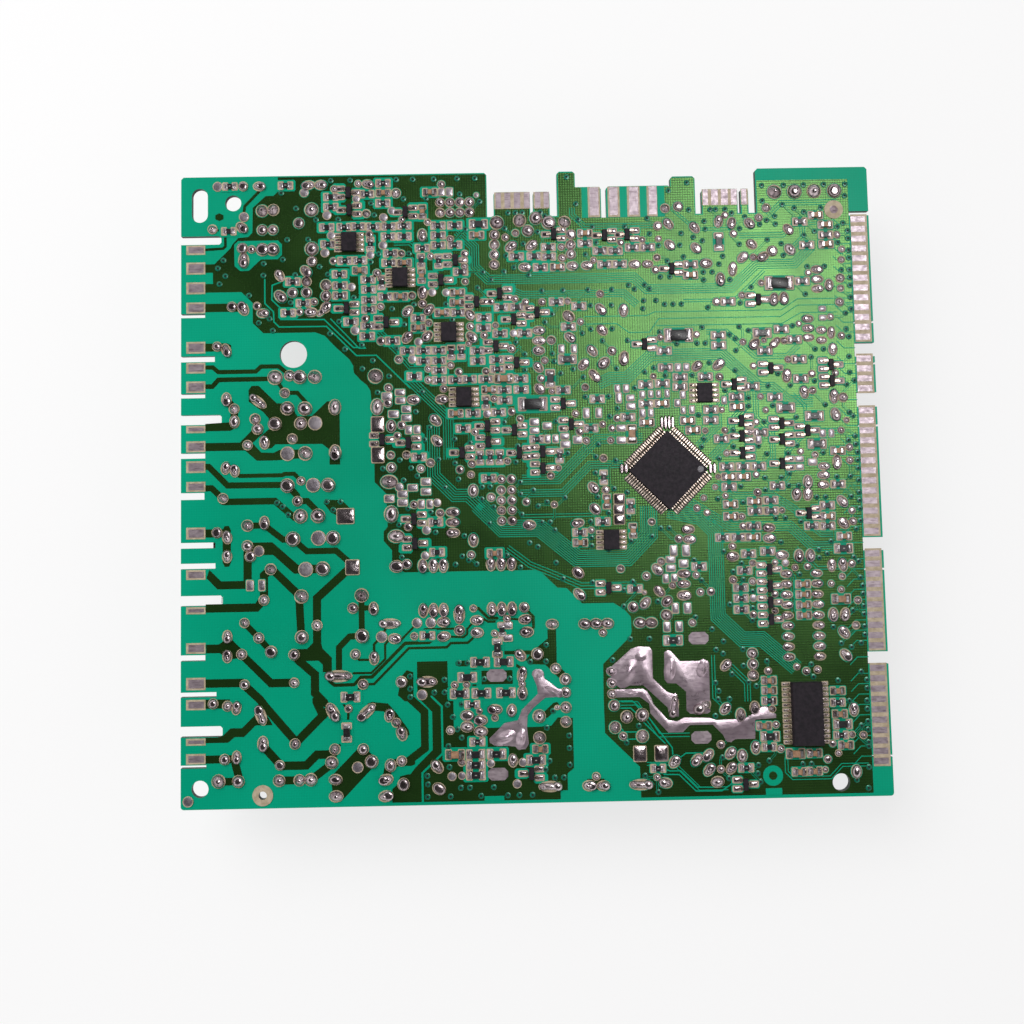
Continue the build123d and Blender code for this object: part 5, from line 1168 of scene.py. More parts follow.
# plated holes: the x of each, by the y of its row
VIA_ROWS = {
    2: (59.9, 65.5, 72.9, 79.4, 82.2, 85.4, 116, 167.3), 4: (68, 70.2, 76, 141, 164.5), 5: (60, 133.3),
    6: (90.9, 93.1, 112.9, 140.4), 7: (59.9, 167.6), 8: (88.7, 140.6, 151.5, 153.6),
    9: (65.3, 94.6, 143.3), 10: (89.7, 131.9), 12: (167.8,), 13: (94.6, 167.8), 14: (65.1, 108.6),
    15: (134.2,), 16: (68.4, 94.6, 167.8), 17: (166.2,), 18: (67.4, 89.2, 111.7, 131.8, 167.8),
    20: (130.5,), 21: (66.3, 167.8), 22: (90.8,), 23: (163.5, 167.8), 24: (65.1, 68.5, 131.3, 134.1),
    26: (56, 131.5, 168), 27: (61.9, 64.4, 140.8), 28: (56, 130.8, 138.9, 160.9, 168), 29: (154.9,),
    30: (64.4, 74.1, 80.4, 134.9, 166.7), 31: (56,), 32: (137.8, 154.5), 33: (143.6,),
    34: (68, 70.1, 85.5, 89.4, 105.7), 35: (132.9,), 36: (131.2, 137.8, 164.6), 37: (162.1, 167),
    38: (89.5, 133.1), 39: (110.2, 114.9, 168), 41: (130.4, 160.3, 168), 43: (140.4,), 44: (126.4, 168),
    45: (165.3,), 46: (140.6, 168), 47: (108.8, 135), 48: (117.2,), 49: (168,), 50: (140.7,),
    51: (108.9, 168), 53: (101.3, 111.2, 128.2, 138.5, 167.5), 54: (94, 152.5), 55: (136.1,),
    57: (83.6, 138.2, 167.2), 58: (67.6, 72.8, 92.4, 126.5, 157.5, 166.1), 59: (70.9, 159.5),
    60: (54.4, 69.3, 80.3, 133.9, 157.5), 61: (105.5,), 62: (88, 101.3, 148.2, 160.6), 63: (86, 111.1),
    64: (101.3, 116.3), 65: (69.9, 167), 66: (62.8, 92.3, 118.5, 120.6), 67: (153.3, 168.1),
    68: (53.8, 76.1, 89.1, 91.2, 101.2, 147.1, 149.5), 69: (110.7,), 70: (84.2, 105.7, 168.1),
    71: (26.5, 61.7), 72: (37.6, 56.1, 77.3, 88.3, 139.1, 168.1),
    73: (25.1, 90.5, 132.9, 157.5, 159.7, 166.1), 74: (23.7, 36, 39.4, 74.4, 95, 103.1, 168.1),
    75: (84, 110.4, 144.8), 76: (87.2, 107.2, 138.7, 150.6, 153.1), 77: (65.3, 74.5, 76.5, 168.1),
    78: (84, 144.8, 148.9, 162.7, 166.1), 79: (55.1, 68.7, 150.9), 80: (58.5, 102.7, 168.1),
    82: (50, 57, 168.1), 83: (67.9, 83, 107.8, 133.6),
    84: (54.2, 63.8, 102.9, 145.5, 150.8, 159.5, 168.1), 85: (95.9,),
    86: (129.3, 137.2, 143.5, 153.1, 167.8), 87: (83.6, 103.6, 166), 88: (71.7, 129.9, 167.7),
    89: (60.4, 67.9), 90: (137.3,), 92: (61.7, 145.1), 93: (80.3, 93.2, 153.2, 167.4),
    94: (106.6, 128.8, 166.5), 96: (58.4, 108.6, 141.4, 147.4, 160.6), 98: (141.4,), 99: (100.7, 106.5),
    100: (135.6,), 101: (48.9, 60, 113.1, 146.4, 152, 166.1), 102: (158.1, 168.1),
    104: (100.3, 120.8, 127.5, 149, 167), 105: (51.8, 94.7, 115.7, 138.3), 106: (85.8, 97.8, 108.7, 118),
    107: (45.2, 131.9), 108: (93.1, 157.5, 167), 109: (47.8,), 110: (85.8, 92.7, 138.7, 158.6, 160.7),
    112: (40.9, 53.8, 123.9, 129, 131.1), 113: (45.1, 83.6, 105.3, 111.6, 138.7, 167.2), 114: (137.2,),
    115: (100.3, 119.7, 142, 166.6), 116: (37.2, 102.5, 107.8, 130.4, 139.7, 153.1), 117: (22.9,),
    118: (55.8, 91), 119: (19.4, 39.5, 67.8, 166.6), 120: (22.1, 92.9, 168), 121: (115.7, 132),
    122: (52.8, 102.6, 107.8, 121.2, 123.3, 125.4, 140.2), 123: (58.3, 66.3, 115.9, 119, 168),
    124: (27.4, 156.7), 125: (43.2,), 126: (17, 90.4, 95.7, 102, 108, 113.7, 117.5, 143.1, 168),
    127: (74.3, 112.2, 116.3), 128: (131.2, 137.8, 168), 129: (9.6, 77.7, 120.3, 122.7),
    130: (87.2, 131.2, 133.4, 166, 168), 131: (11.1, 20.6, 28.6, 36.8, 75.7, 81, 157.4, 161.8),
    132: (83.5, 135.2), 133: (9.2, 34.7, 122.2, 168), 134: (20.7, 47.6, 126.3, 136.2, 151.5),
    135: (10.6, 25.5, 81.6, 101.6, 168), 136: (49.6, 57.2), 137: (120.1, 125.5, 140.5, 151.1, 165.4),
    138: (86, 104.4, 131.2, 147.6, 168), 139: (128.9, 156.9), 140: (26.6, 31.9, 117.9, 125.9, 159.6, 168),
    141: (89.7, 132, 140.7, 165.4), 142: (71.5, 81.4, 103.5, 111.7, 145.8, 149.8, 166.9),
    143: (131.8, 147.6), 144: (100, 117.4, 142.1, 149.7), 145: (33.9, 39.5, 91.6, 138.8, 157.1),
    146: (48.6, 82.3, 84.2, 85.9, 90.5, 128, 133.4, 134.8, 137.2, 154.7, 161.4), 147: (151.7,),
    148: (28.9, 99.5, 146.7), 149: (47.8, 75.2, 167.6), 150: (56, 61.7), 151: (70.2, 123),
    152: (25.2, 146.7, 152.2, 157.3, 162.4, 167.8), 153: (127.7,),
    155: (37.7, 42.6, 54.2, 58.4, 63.7, 69.6, 74.1, 97.3),
}
# small round joints: x and y of one after the other, by diameter
SMALL_JOINTS = {
    1.1: (114, 50.3),
    1.3: (145.8, 112.5, 154.7, 116.5),
    1.4: (133.2, 78.5, 145.6, 94.9, 132.3, 75.9, 72.8, 22.3, 156.9, 6.6),
    1.5: (55.5, 144.7, 71.8, 112.9, 157.6, 129.4, 130.3, 90, 134.6, 95.1, 144.4, 98.3, 143.1, 91.9,
          165.7, 92, 134.8, 73.7, 129.4, 73.3, 130.1, 69.6, 148.7, 69.9, 146.5, 57),
    1.6: (103.6, 133.5, 110.5, 137.9, 116, 138.5, 120.1, 138.7, 166.3, 135.3, 77.6, 123.4, 78.6, 117.4,
          119.8, 113.6, 140.5, 112.1, 142.9, 106, 145.7, 127, 162.7, 118.1, 92.4, 100.6, 107.1, 91,
          93.5, 81.4, 135.2, 90, 135.5, 84.3, 142.6, 78.8, 117.8, 103.8, 163.4, 103.9, 164.2, 89.5,
          153.9, 84.4, 157.5, 83.5, 101.3, 65.8, 151.4, 55.7, 154.5, 55.9, 163, 53.3, 76.9, 41,
          69.8, 28.7, 146.2, 49.3, 146.1, 45.2, 160.2, 51.6, 162.6, 50.1, 150.9, 31.5, 76.6, 20.6,
          115.8, 5.6, 160.3, 10.5, 159, 12.8, 163.8, 14.9, 83.4, 28.6),
    1.7: (44.6, 154.1, 38.2, 134.4, 62, 143.9, 62.6, 135.2, 71.1, 132.5, 137.1, 144.5, 143.9, 133.6,
          165.2, 139, 166.1, 132.6, 29.6, 121.6, 71.2, 128.6, 83.6, 124, 61.6, 106.7, 86.2, 123.1,
          96.8, 123.2, 99.9, 117.9, 140.7, 123.9, 128.9, 114.2, 165.6, 125.3, 165.3, 113.3, 151.7, 107.5,
          53.7, 90.1, 80.9, 83.3, 104.8, 92, 106.7, 88, 108.4, 93.5, 92.3, 72.3, 127.6, 70.8, 138.7, 68.5,
          138.9, 66.1, 141, 57, 126.9, 54.3, 121, 51.9, 166.1, 69.5, 71.8, 47.2, 80, 44.5, 66.9, 28.7,
          140.7, 44.4, 144.5, 21.4, 145.2, 17.6),
    1.8: (38.6, 152.8, 47.3, 141, 55.3, 136, 65.6, 153.6, 67.6, 139.5, 71.2, 135.7, 84.1, 140.8,
          81.5, 139.7, 95.6, 137, 139.1, 139.7, 119.6, 133.9, 33.3, 124.1, 49.9, 122.6, 46, 119.6,
          61.9, 118.3, 75.7, 114.9, 67.2, 107.5, 69.2, 105.8, 76, 105.8, 90.4, 123.1, 90.7, 108.3,
          119.1, 130.8, 150.9, 112.3, 61.6, 103.9, 77.9, 98.9, 82.2, 95.6, 84.3, 93.8, 73, 90.7,
          71.8, 80.1, 89.7, 103.8, 100.7, 101.4, 98.1, 94.8, 100.6, 88, 99, 90.3, 91.6, 79.5,
          134.3, 103.4, 141.4, 89.5, 157.5, 103.8, 157.5, 99.6, 166.1, 85.2, 166.1, 82, 85.4, 73.1,
          116.3, 67.6, 136.1, 61.2, 140.8, 52.5, 165.5, 56.4, 57.2, 40.7, 127.8, 50.1, 125.6, 42.7,
          143.8, 30.6, 166.6, 47.4, 153.2, 30.4, 156, 30.7, 40.9, 23.5, 68.3, 10.1, 131.4, 7.2,
          146.2, 11.8, 157.6, 9.1, 166.6, 14.7),
    1.9: (17.7, 137.7, 145.6, 143.7, 19, 123.3, 57.8, 125.3, 72.3, 117.2, 105, 124.9, 134.2, 122.4,
          52, 85.3, 65.4, 101.6, 72.1, 82.8, 69.1, 81.4, 104.8, 83.6, 57.6, 72.9, 71.5, 60.3, 105.1, 75.7,
          108.3, 56.2, 142.8, 74.4, 136, 53, 122.9, 63.3, 118.4, 57.8, 166.2, 66.8, 103.5, 40.7,
          130.4, 50.2, 165.9, 41.3, 107.8, 15.6, 101, 6.1, 131.6, 13.1),
    2: (46.6, 146.4, 49.1, 131.1, 95.7, 134.2, 49.9, 113.9, 54.3, 109.2, 82.5, 111.4, 51.6, 102.1,
          54.8, 92.7, 55.9, 85.3, 29.7, 79.3, 59.4, 81.8, 56.1, 67.5, 64, 70.7, 114.6, 54.3, 65.7, 17.8,
          105.3, 31.2),
    2.1: (147.6, 146.2, 60.4, 123.1, 165.2, 121.8, 51.4, 98.3, 61.8, 83.2, 79.3, 78.8, 76.7, 74.4),
    2.2: (120, 142, 92.5, 113.4, 107.6, 110.4, 165.6, 127.9, 81.8, 78.8, 79.2, 76.1, 81.8, 76.1,
          79.2, 73.6, 81.8, 73.6, 79.2, 71.1, 81.8, 71.1, 79.2, 68.5, 81.8, 68.5, 52.5, 19.9, 105.4, 28.4,
          105.4, 25.8),
    2.3: (15.6, 153.9, 7.9, 143, 65.2, 148.9, 67.7, 148.9, 70.2, 148.9, 65.2, 146.3, 67.7, 146.3,
          70.2, 146.3, 72.6, 146.3, 122, 146.5, 9, 113.2, 165.1, 97.7, 55.6, 58.3, 15.6, 44.7, 15.6, 29.8,
          27.7, 30, 24.1, 10.3),
}
# levelled round pads as x, y, diameter
FLAT_ROUND = [
    (9.2, 153.9, 2.3), (15.8, 146, 2.3), (31, 152, 2.1), (36.7, 146.1, 2.1), (44.1, 150.2, 1.8),
    (53, 147, 1.8), (50.9, 145.3, 2), (37.7, 140.9, 1.9), (47.5, 135.8, 1.9), (36.1, 136.5, 2.1),
    (50.7, 138.2, 2), (74.4, 150.7, 1.2), (42.7, 127.7, 1.9), (43.5, 116.7, 2.1), (57.7, 109.2, 2),
    (62.9, 126, 1.9), (66.4, 125.9, 1.8), (59.3, 113.5, 1.9), (83.1, 115.3, 1.8), (26.4, 86.1, 3.4),
    (33.3, 93.6, 3.4), (76.1, 95.2, 1.9), (19.2, 62.2, 2.5), (32.7, 78.2, 3.4), (33.9, 65.1, 3.5),
    (30.7, 57.5, 3.5), (54, 77.3, 2), (63.3, 73.3, 1.9), (60.6, 66.6, 2), (60.2, 60.3, 1.9),
    (149.1, 56.9, 1.7), (49.2, 40.7, 2.6), (57.9, 43.9, 2.3), (61.3, 43.9, 2.4), (58.9, 26.5, 2.4),
    (140.8, 48.4, 1.7), (1.8, 2, 2.4), (43, 9.4, 2.6), (68.3, 6.9, 1.7), (75.4, 9.7, 1.8), (65.9, 6.8, 2),
    (81.7, 4.7, 2), (83.2, 9.8, 1.9),
]
# levelled square pads as x, y, length, width
FLAT_SQUARE = [
    (65.6, 151.6, 1.6, 1.9), (67.6, 151.6, 1.7, 2.1), (95, 111.1, 1.4, 2.1), (98.1, 111.1, 1.4, 2.1),
    (124, 106, 1.5, 1.9), (126.1, 106, 1.5, 1.9), (160.8, 120.2, 1.7, 1.2), (160.8, 117.9, 1.7, 1.2),
    (51.2, 100, 2.5, 1.8), (54.5, 100.9, 2.4, 1.5), (54.6, 98.9, 2.4, 1.6), (56, 96.7, 2.2, 1.6),
    (56, 94.5, 2.4, 1.6), (52.8, 95.5, 2.5, 1.7), (56.5, 91.5, 1.6, 2), (58.6, 91.5, 1.6, 2),
    (60.6, 78.5, 2.4, 1.8), (87.8, 92.9, 2.2, 1.7), (87.8, 90.8, 2.2, 1.5), (91, 91.9, 2.2, 1.6),
    (91, 88.6, 1.4, 2), (93, 88.6, 1.5, 2), (95.3, 89.2, 2.1, 1.5), (95.4, 87.2, 2.3, 1.7),
    (98.5, 88.3, 2.2, 1.8), (100.8, 94.9, 1.5, 2.4), (103.9, 94.9, 1.5, 2.4), (109.4, 91, 2.3, 1.5),
    (109.4, 88, 2.3, 1.6), (108.7, 100.9, 1.3, 1.9), (110.9, 100.9, 1.4, 2), (109, 98.6, 1.4, 2.6),
    (111.9, 98.5, 2, 1.5), (112, 96.4, 2.2, 1.6), (114.9, 99.3, 1.3, 1.8), (114.8, 94.6, 1.4, 2.1),
    (117, 99.4, 1.2, 1.8), (118.9, 99.4, 1.1, 1.8), (121.1, 99.5, 1.1, 1.9), (116.9, 94.7, 1.3, 2),
    (125, 99.1, 1.3, 2), (123.6, 97, 1.4, 1.8), (125, 95.2, 1.2, 1.8), (127.2, 95.3, 1.3, 2),
    (135.3, 97.5, 1.2, 1.8), (143.5, 87.5, 1.4, 2), (153.5, 82.5, 2.1, 1.4), (153.5, 80.5, 2, 1.4),
    (156.8, 81.7, 2.2, 1.6), (159.6, 88.8, 1.4, 1.8), (161.8, 88.8, 1.2, 1.9), (17, 53.8, 1.7, 2.5),
    (19.9, 53.8, 1.5, 2.6), (51.5, 74.5, 2.4, 1.8), (54.8, 75.6, 2.4, 1.7), (54.8, 73.5, 2.4, 1.7),
    (57.3, 77.1, 2.4, 1.6), (60.6, 76.1, 2.4, 1.6), (59.4, 73, 1.6, 2.1), (61.5, 73, 1.5, 2.1),
    (121.5, 60.4, 1.7, 2.6), (124.6, 60.4, 1.8, 2.7), (120.7, 58.2, 2.2, 1.6), (123.9, 57.2, 2.2, 1.8),
    (120.7, 56.1, 2.3, 1.6), (119.4, 53.6, 1.4, 2.1), (121.5, 53.7, 1.5, 1.9), (80.1, 42.9, 2.3, 1.6),
    (80.1, 39.8, 2.3, 1.5), (121.5, 46.3, 1.6, 2.5), (124.5, 46.3, 1.7, 2.5), (119.3, 41.8, 1.6, 2.4),
    (122.3, 41.8, 1.6, 2.4),
]
# three-lead parts with the single lead to the west
SINGLE_LEAD_WEST = [
    (42.3, 147.4), (56.4, 146.6), (93.7, 140.3), (106.5, 139.8), (112.2, 139.9), (41.4, 122.3),
    (79.8, 125.4), (83.2, 118.8), (115.8, 112), (123.2, 131), (56.4, 88.3), (76.1, 92.1), (82.8, 91),
    (69.7, 85.6), (83.9, 85.3), (137.9, 101.5), (139.4, 92.3), (139.4, 88.5), (139.4, 84.3),
    (149.4, 87.5), (149.2, 81.5), (57.5, 69.4), (155.3, 69.1), (85.2, 7.1),
]


def via_places() -> Array:
    """Places of the plated holes."""
    return np.array([(x, y) for y, row in VIA_ROWS.items() for x in row], dtype=float)


def small_joints() -> Array:
    """Small round joints as rows of x, y, diameter."""
    return np.array([(x, y, d) for d, row in SMALL_JOINTS.items() for x, y in zip(row[::2], row[1::2])])


@dataclass
class Artwork(Assembly):
    """Copper under the mask: pours, tracks, the gaps between them, and plated holes.

    Attributes:
        ring: Diameter of a plated hole's ring.
        drill: Diameter of its hole.
        moat: Width of the gap between neighbouring tracks.
        route: Width of a short track.
        bed: Width of the bare bed that it lies in.
        reach: How far a short track may lead from a plated hole, at least and at most.
        west: Short tracks lie east of this x.
        bend: A part of a short track under this length is left out.
        pad: From a small resistor's middle to the middle of its pad.
        stub: Start and end of a right contact's gap line from the edge, and its slanting end.
    """

    ring: float = 1.45
    drill: float = 0.6
    moat: float = 0.2
    route: float = 0.3
    bed: float = 0.54
    reach: tuple[float, float] = (1.4, 4.6)
    west: float = 70.0
    bend: float = 0.2
    pad: float = 1.4
    stub: tuple[float, float, float] = (4.9, 7.6, 1.8)

    def pours(self) -> Shell:
        """Wide copper areas as thin plates."""
        outlines = [pierced(POURS[0], *CORNER_HOLE), *POURS[1:]]
        rises = Level.COPPER.value + staggered(len(POURS))
        return joined(prism(o, FOOT, r) for o, r in zip(outlines, rises))

    def tracks(self) -> Shell:
        """Power tracks as ribbons."""
        rises = Level.TRACK.value + staggered(len(TRACKS))
        return joined(prism(ribbon(p, w), FOOT, r) for (w, p), r in zip(TRACKS, rises))

    def moats(self) -> Shell:
        """Bare gaps across the pours, single or as parallel runs, and one between right contacts.

        Returns:
            All gaps as thin plates.
        """
        outlines = [ribbon(p, w) for w, p in MOATS]
        for count, pitch, path in BUNDLES:
            outlines += [ribbon(self.beside(path, (i - (count - 1) / 2) * pitch), self.moat)
                         for i in range(count)]
        outlines += BARE
        rows = np.sort(boxes_of("contacts_right")[:, 1])
        edge, far, slant = PLANE.width - self.stub[0], PLANE.width - self.stub[1], self.stub[2]
        for low, high in zip(rows, rows[1:]):
            y, fall = (low + high) / 2, math.copysign(slant, low - PLANE.height / 2)
            outlines.append(ribbon([(edge, y), (far, y), (far - slant, y + fall)], self.moat))
        rises = Level.MOAT.value + staggered(len(outlines))
        return joined(prism(o, 0.0, r) for o, r in zip(outlines, rises))

    @staticmethod
    def beside(path: Path, offset: float) -> Array:
        """A path moved sideways, with its runs parallel to what they were."""
        line = points_of(path)
        return line + bisectors(line)[1] * offset

    def routes(self) -> list[Path]:
        """Short tracks from plated holes to the nearest pads, at first aslant and then straight.

        Returns:
            The middle line of each.
        """
        holes = via_places()
        chips = boxes_of("resistors_0805")[:, :2]
        pads = np.vstack([chips + (self.pad, 0.0), chips - (self.pad, 0.0), small_joints()[:, :2]])
        holes = holes[inside(holes, POURS[0])]
        paths = []
        for number, hole in enumerate(holes):
            away = pads - hole
            far = np.abs(away).max(axis=1)
            order = np.argsort(np.where(far < self.reach[0], np.inf, far))
            dx, dy = away[order[number % 2]]
            short, long = sorted((abs(dx), abs(dy)))
            if long > self.reach[1] or hole[0] < self.west:
                continue
            path = [tuple(hole), tuple(hole + (dx, dy))]
            if short >= self.bend and long - short >= self.bend:
                path.insert(1, tuple(hole + (math.copysign(short, dx), math.copysign(short, dy))))
            paths.append(path)
        return paths

    def build(self) -> None:
        """Makes the copper, its gaps and the plated holes."""
        routes = self.routes()
        low = Level.CLEARANCE.value + staggered(len(routes), 1)
        high = Level.LINK.value + staggered(len(routes), 2)
        self.put("track_gaps", joined(prism(ribbon(p, self.bed), 0.0, r) for p, r in zip(routes, low)),
                 MASK, "laminate")
        self.put("signal_tracks",
                 joined(prism(ribbon(p, self.route), 0.0, r) for p, r in zip(routes, high)),
                 MASKED_COPPER, "laminate")
        self.put("copper_pours", self.pours(), MASKED_COPPER, "laminate")
        self.put("copper_tracks", self.tracks(), MASKED_COPPER, "laminate")
        self.put("pour_gaps", self.moats(), MASK, "laminate")
        disc = turned_profile([(0.5, 0.0), (0.5, 1.0)], 32)
        x, y, outer, inner = RING_MARK
        for name, size, level, finish in (("ring_mark", outer, Level.CLEARANCE, MASK),
                                          ("ring_mark_core", inner, Level.LINK, MASKED_COPPER)):
            spot = np.array([[x, y, 0, 0, size, size, level.value]])
            self.put(name, disc.copies(spot), finish, "laminate")
        rows = unscaled(via_places())
        ring = turned_profile([(0.5, 0.0), (0.5, 0.7), (0.42, 1.0)], 12)
        # painted shade: the dark discs in the plated holes stand for the shade inside them
        hole = turned_profile([(0.5, 0.0), (0.5, 1.0)], 10)
        for name, cast, size, level, finish in (("plated_rings", ring, self.ring, Level.RIM, VIA_GREEN),
                                                ("plated_holes", hole, self.drill, Level.HOLE, HOLE_DARK)):
            rows[:, 4:6], rows[:, 6] = size, level.value + staggered(len(rows))
            self.put(name, cast.copies(rows), finish, "laminate")


@dataclass
class SolderJoints(Assembly):
    """Soldered pins and flat tinned pads, each in its window in the mask.

    Attributes:
        rim: Bare rim between a joint and the mask.
        clear: Bare laminate round a joint that a pour keeps away from.
        height: A joint's height over its width.
        widest: From this width on the joints grow no higher.
        flat: Height of a levelled pad.
        lump: Height of a lump on a terminal.
    """

    rim: float = 0.12
    clear: float = 0.16
    height: float = 0.42
    widest: float = 3.4
    flat: float = 0.28
    lump: float = 0.5

    def all_joints(self) -> Array:
        """Joints of the frame and the small ones, as rows of x, y, length, width, angle."""
        small = [(x, y, d, d, 0.0) for x, y, d in small_joints()]
        return np.vstack([joints_of("joints_round"), joints_of("joints_long"), small])

    @staticmethod
    def swells(rows: Array) -> Array:
        """The round swells that make up the joints: one, or two to four along a long joint.

        Args:
            rows: Rows of x, y, length, width, angle.

        Returns:
            Such rows for the swells.
        """
        parts = []
        for number, (x, y, length, width, angle) in enumerate(rows):
            ratio = length / width
            if ratio < 1.3:
                parts.append((x, y, length, width, angle))
                continue
            count = min(4, max(2, round(ratio)))
            for step in np.linspace(-0.5, 0.5, count) * (length - width) * 1.02:
                size = width * (1.0 - 0.14 * ((number + (step > 0)) % 2))
                parts.append((x + step * math.cos(angle), y + step * math.sin(angle), size * 1.06, size,
                              angle))
            parts.append((x, y, length * 0.94, width * 0.78, angle))
        return np.array(parts)

    def domes(self, rows: Array) -> Shell:
        """Solder domes in four casts.

        A dome's profile climbs steeply from the pad, rounds over at two thirds of its height and
        ends in the low swell over the pin.

        Args:
            rows: Rows of x, y, length, width, angle.

        Returns:
            All the domes.
        """
        casts = [
            [(0.5, 0.0), (0.485, 0.3), (0.42, 0.66), (0.29, 0.9), (0.13, 1.0)],
            [(0.5, 0.0), (0.47, 0.3), (0.38, 0.56), (0.24, 0.84), (0.12, 1.0)],
            [(0.5, 0.0), (0.49, 0.34), (0.44, 0.62), (0.34, 0.76), (0.15, 0.78)],
            [(0.5, 0.0), (0.46, 0.26), (0.34, 0.5), (0.2, 0.92), (0.1, 1.1)],
        ]
        rows = self.swells(rows)
        shells = []
        for number, profile in enumerate(casts):
            own = rows[number::len(casts)]
            size = len(own)
            dome = turned_profile(profile, 12, 0.05)
            turn = own[:, 4] + np.where(np.arange(size) % 2 == 0, 0.0, math.pi)
            tall = np.minimum(own[:, 3], self.widest) * self.height
            shells.append(dome.copies(
                np.column_stack([own[:, :2], np.zeros(size), turn, own[:, 2:4], tall])))
        return joined(shells)

    def plates(self, rows: Array, margin: float, top: float) -> Shell:
        """Thin round or long plates under the joints.

        Args:
            rows: Rows of x, y, length, width, angle.
            margin: How much wider they are all round.
            top: Height of the lowest.

        Returns:
            All the plates.
        """
        size = len(rows)
        disc = turned_profile([(0.5, 0.0), (0.5, 1.0)], 14)
        return disc.copies(np.column_stack([
            rows[:, :2], np.zeros(size), rows[:, 4], rows[:, 2] + 2 * margin, rows[:, 3] + 2 * margin,
            top + staggered(size)]))

    def pads(self, rows: Array, margin: float, top: float, crown: bool) -> Shell:
        """Square pads: thin plates, or swells of solder.

        Args:
            rows: Rows of x, y, length, width.
            margin: How much wider they are all round.
            top: Their height.
            crown: Whether they are swells.

        Returns:
            All the pads.
        """
        shells = []
        for (x, y, length, width), rise in zip(rows, staggered(len(rows))):
            a, b = length + 2 * margin, width + 2 * margin
            if crown:
                shape = tapered([(a, b, 0.3, 0.0), (a * 0.94, b * 0.94, 0.35, top * 0.6),
                                 (a * 0.6, b * 0.6, 0.3, top)], 2)
            else:
                shape = tapered([(a, b, 0.35, 0.0), (a, b, 0.35, top + rise)], 2)
            shells.append(shape.at(x, y))
        return joined(shells)

    def build(self) -> None:
        """Makes the clearances, rims, domes and pads."""
        rows = self.all_joints()
        round_pads = np.array([(x, y, d, d, 0.0) for x, y, d in FLAT_ROUND])
        square_pads = np.array(FLAT_SQUARE, dtype=float)
        lumps = boxes_of("joint_lumps")[:, :4]
        every = np.vstack([rows, round_pads])
        isolated = every[inside(every, POURS[0]) & (np.arange(len(every)) % 3 != 0)]
        squares = np.vstack([square_pads, lumps])
        self.put("joint_clearances", joined([
            self.plates(isolated, self.rim + self.clear, Level.CLEARANCE.value),
            self.pads(square_pads, self.rim + self.clear, Level.CLEARANCE.value, False)]), MASK, "laminate")
        self.put("joint_rims", joined([
            self.plates(every, self.rim, Level.RIM.value),
            self.pads(squares, self.rim, Level.RIM.value, False)]), MASK_RIM, "bare")
        self.put("solder_joints", self.domes(rows), SOLDER, "solder", ["joints_round", "joints_long"])
        flat = turned_profile([(0.5, 0.0), (0.47, 0.7), (0.3, 1.0)], 14)
        size = len(round_pads)
        self.put("levelled_pads", joined([
            flat.copies(np.column_stack([round_pads[:, :2], np.zeros((size, 2)), round_pads[:, 2:4],
                                         np.full(size, self.flat)])),
            self.pads(square_pads, 0.0, self.flat, True)]), DULL_SOLDER, "solder")
        self.put("terminal_lumps", self.pads(lumps, 0.0, self.lump, True), SOLDER, "solder",
                 ["joint_lumps"])
        self.put("tinned_areas", self.tinned(), TINNED_COPPER, "solder", ["tinning"])
        self.put("tinned_swells", self.mounds(), TINNED_COPPER, "solder", sharp=80.0)

    @staticmethod
    def tinned() -> Shell:
        """Tinned areas with soft edges.

        Returns:
            All the areas.
        """
        shells = []
        for outline, rise in zip(TINNED, staggered(len(TINNED))):
            flat = anticlockwise(outline)
            rings = [np.column_stack([inset(flat, step), np.full(len(flat), top)])
                     for step, top in ((0.0, 0.0), (0.05, Level.TINNED.value), (0.35, 0.2 + rise))]
            shells.append(lofted(np.array(rings)))
        return joined(shells)

    @staticmethod
    def mounds() -> Shell:
        """The swells of solder on the tinned areas, and the dome in the eyelet at the top right.

        Returns:
            All the swells.
        """
        profile = [(0.56, 0.0), (0.44, 0.14), (0.33, 0.34), (0.22, 0.62), (0.12, 0.88), (0.04, 1.0)]
        swell = turned_profile(profile, 18, 0.06)
        rows = np.array(SWELLS)
        flat = np.zeros(len(rows))
        return swell.copies(np.column_stack([
            rows[:, :2], flat + 0.1, np.radians(rows[:, 4]), rows[:, 2], rows[:, 3], rows[:, 5]]))


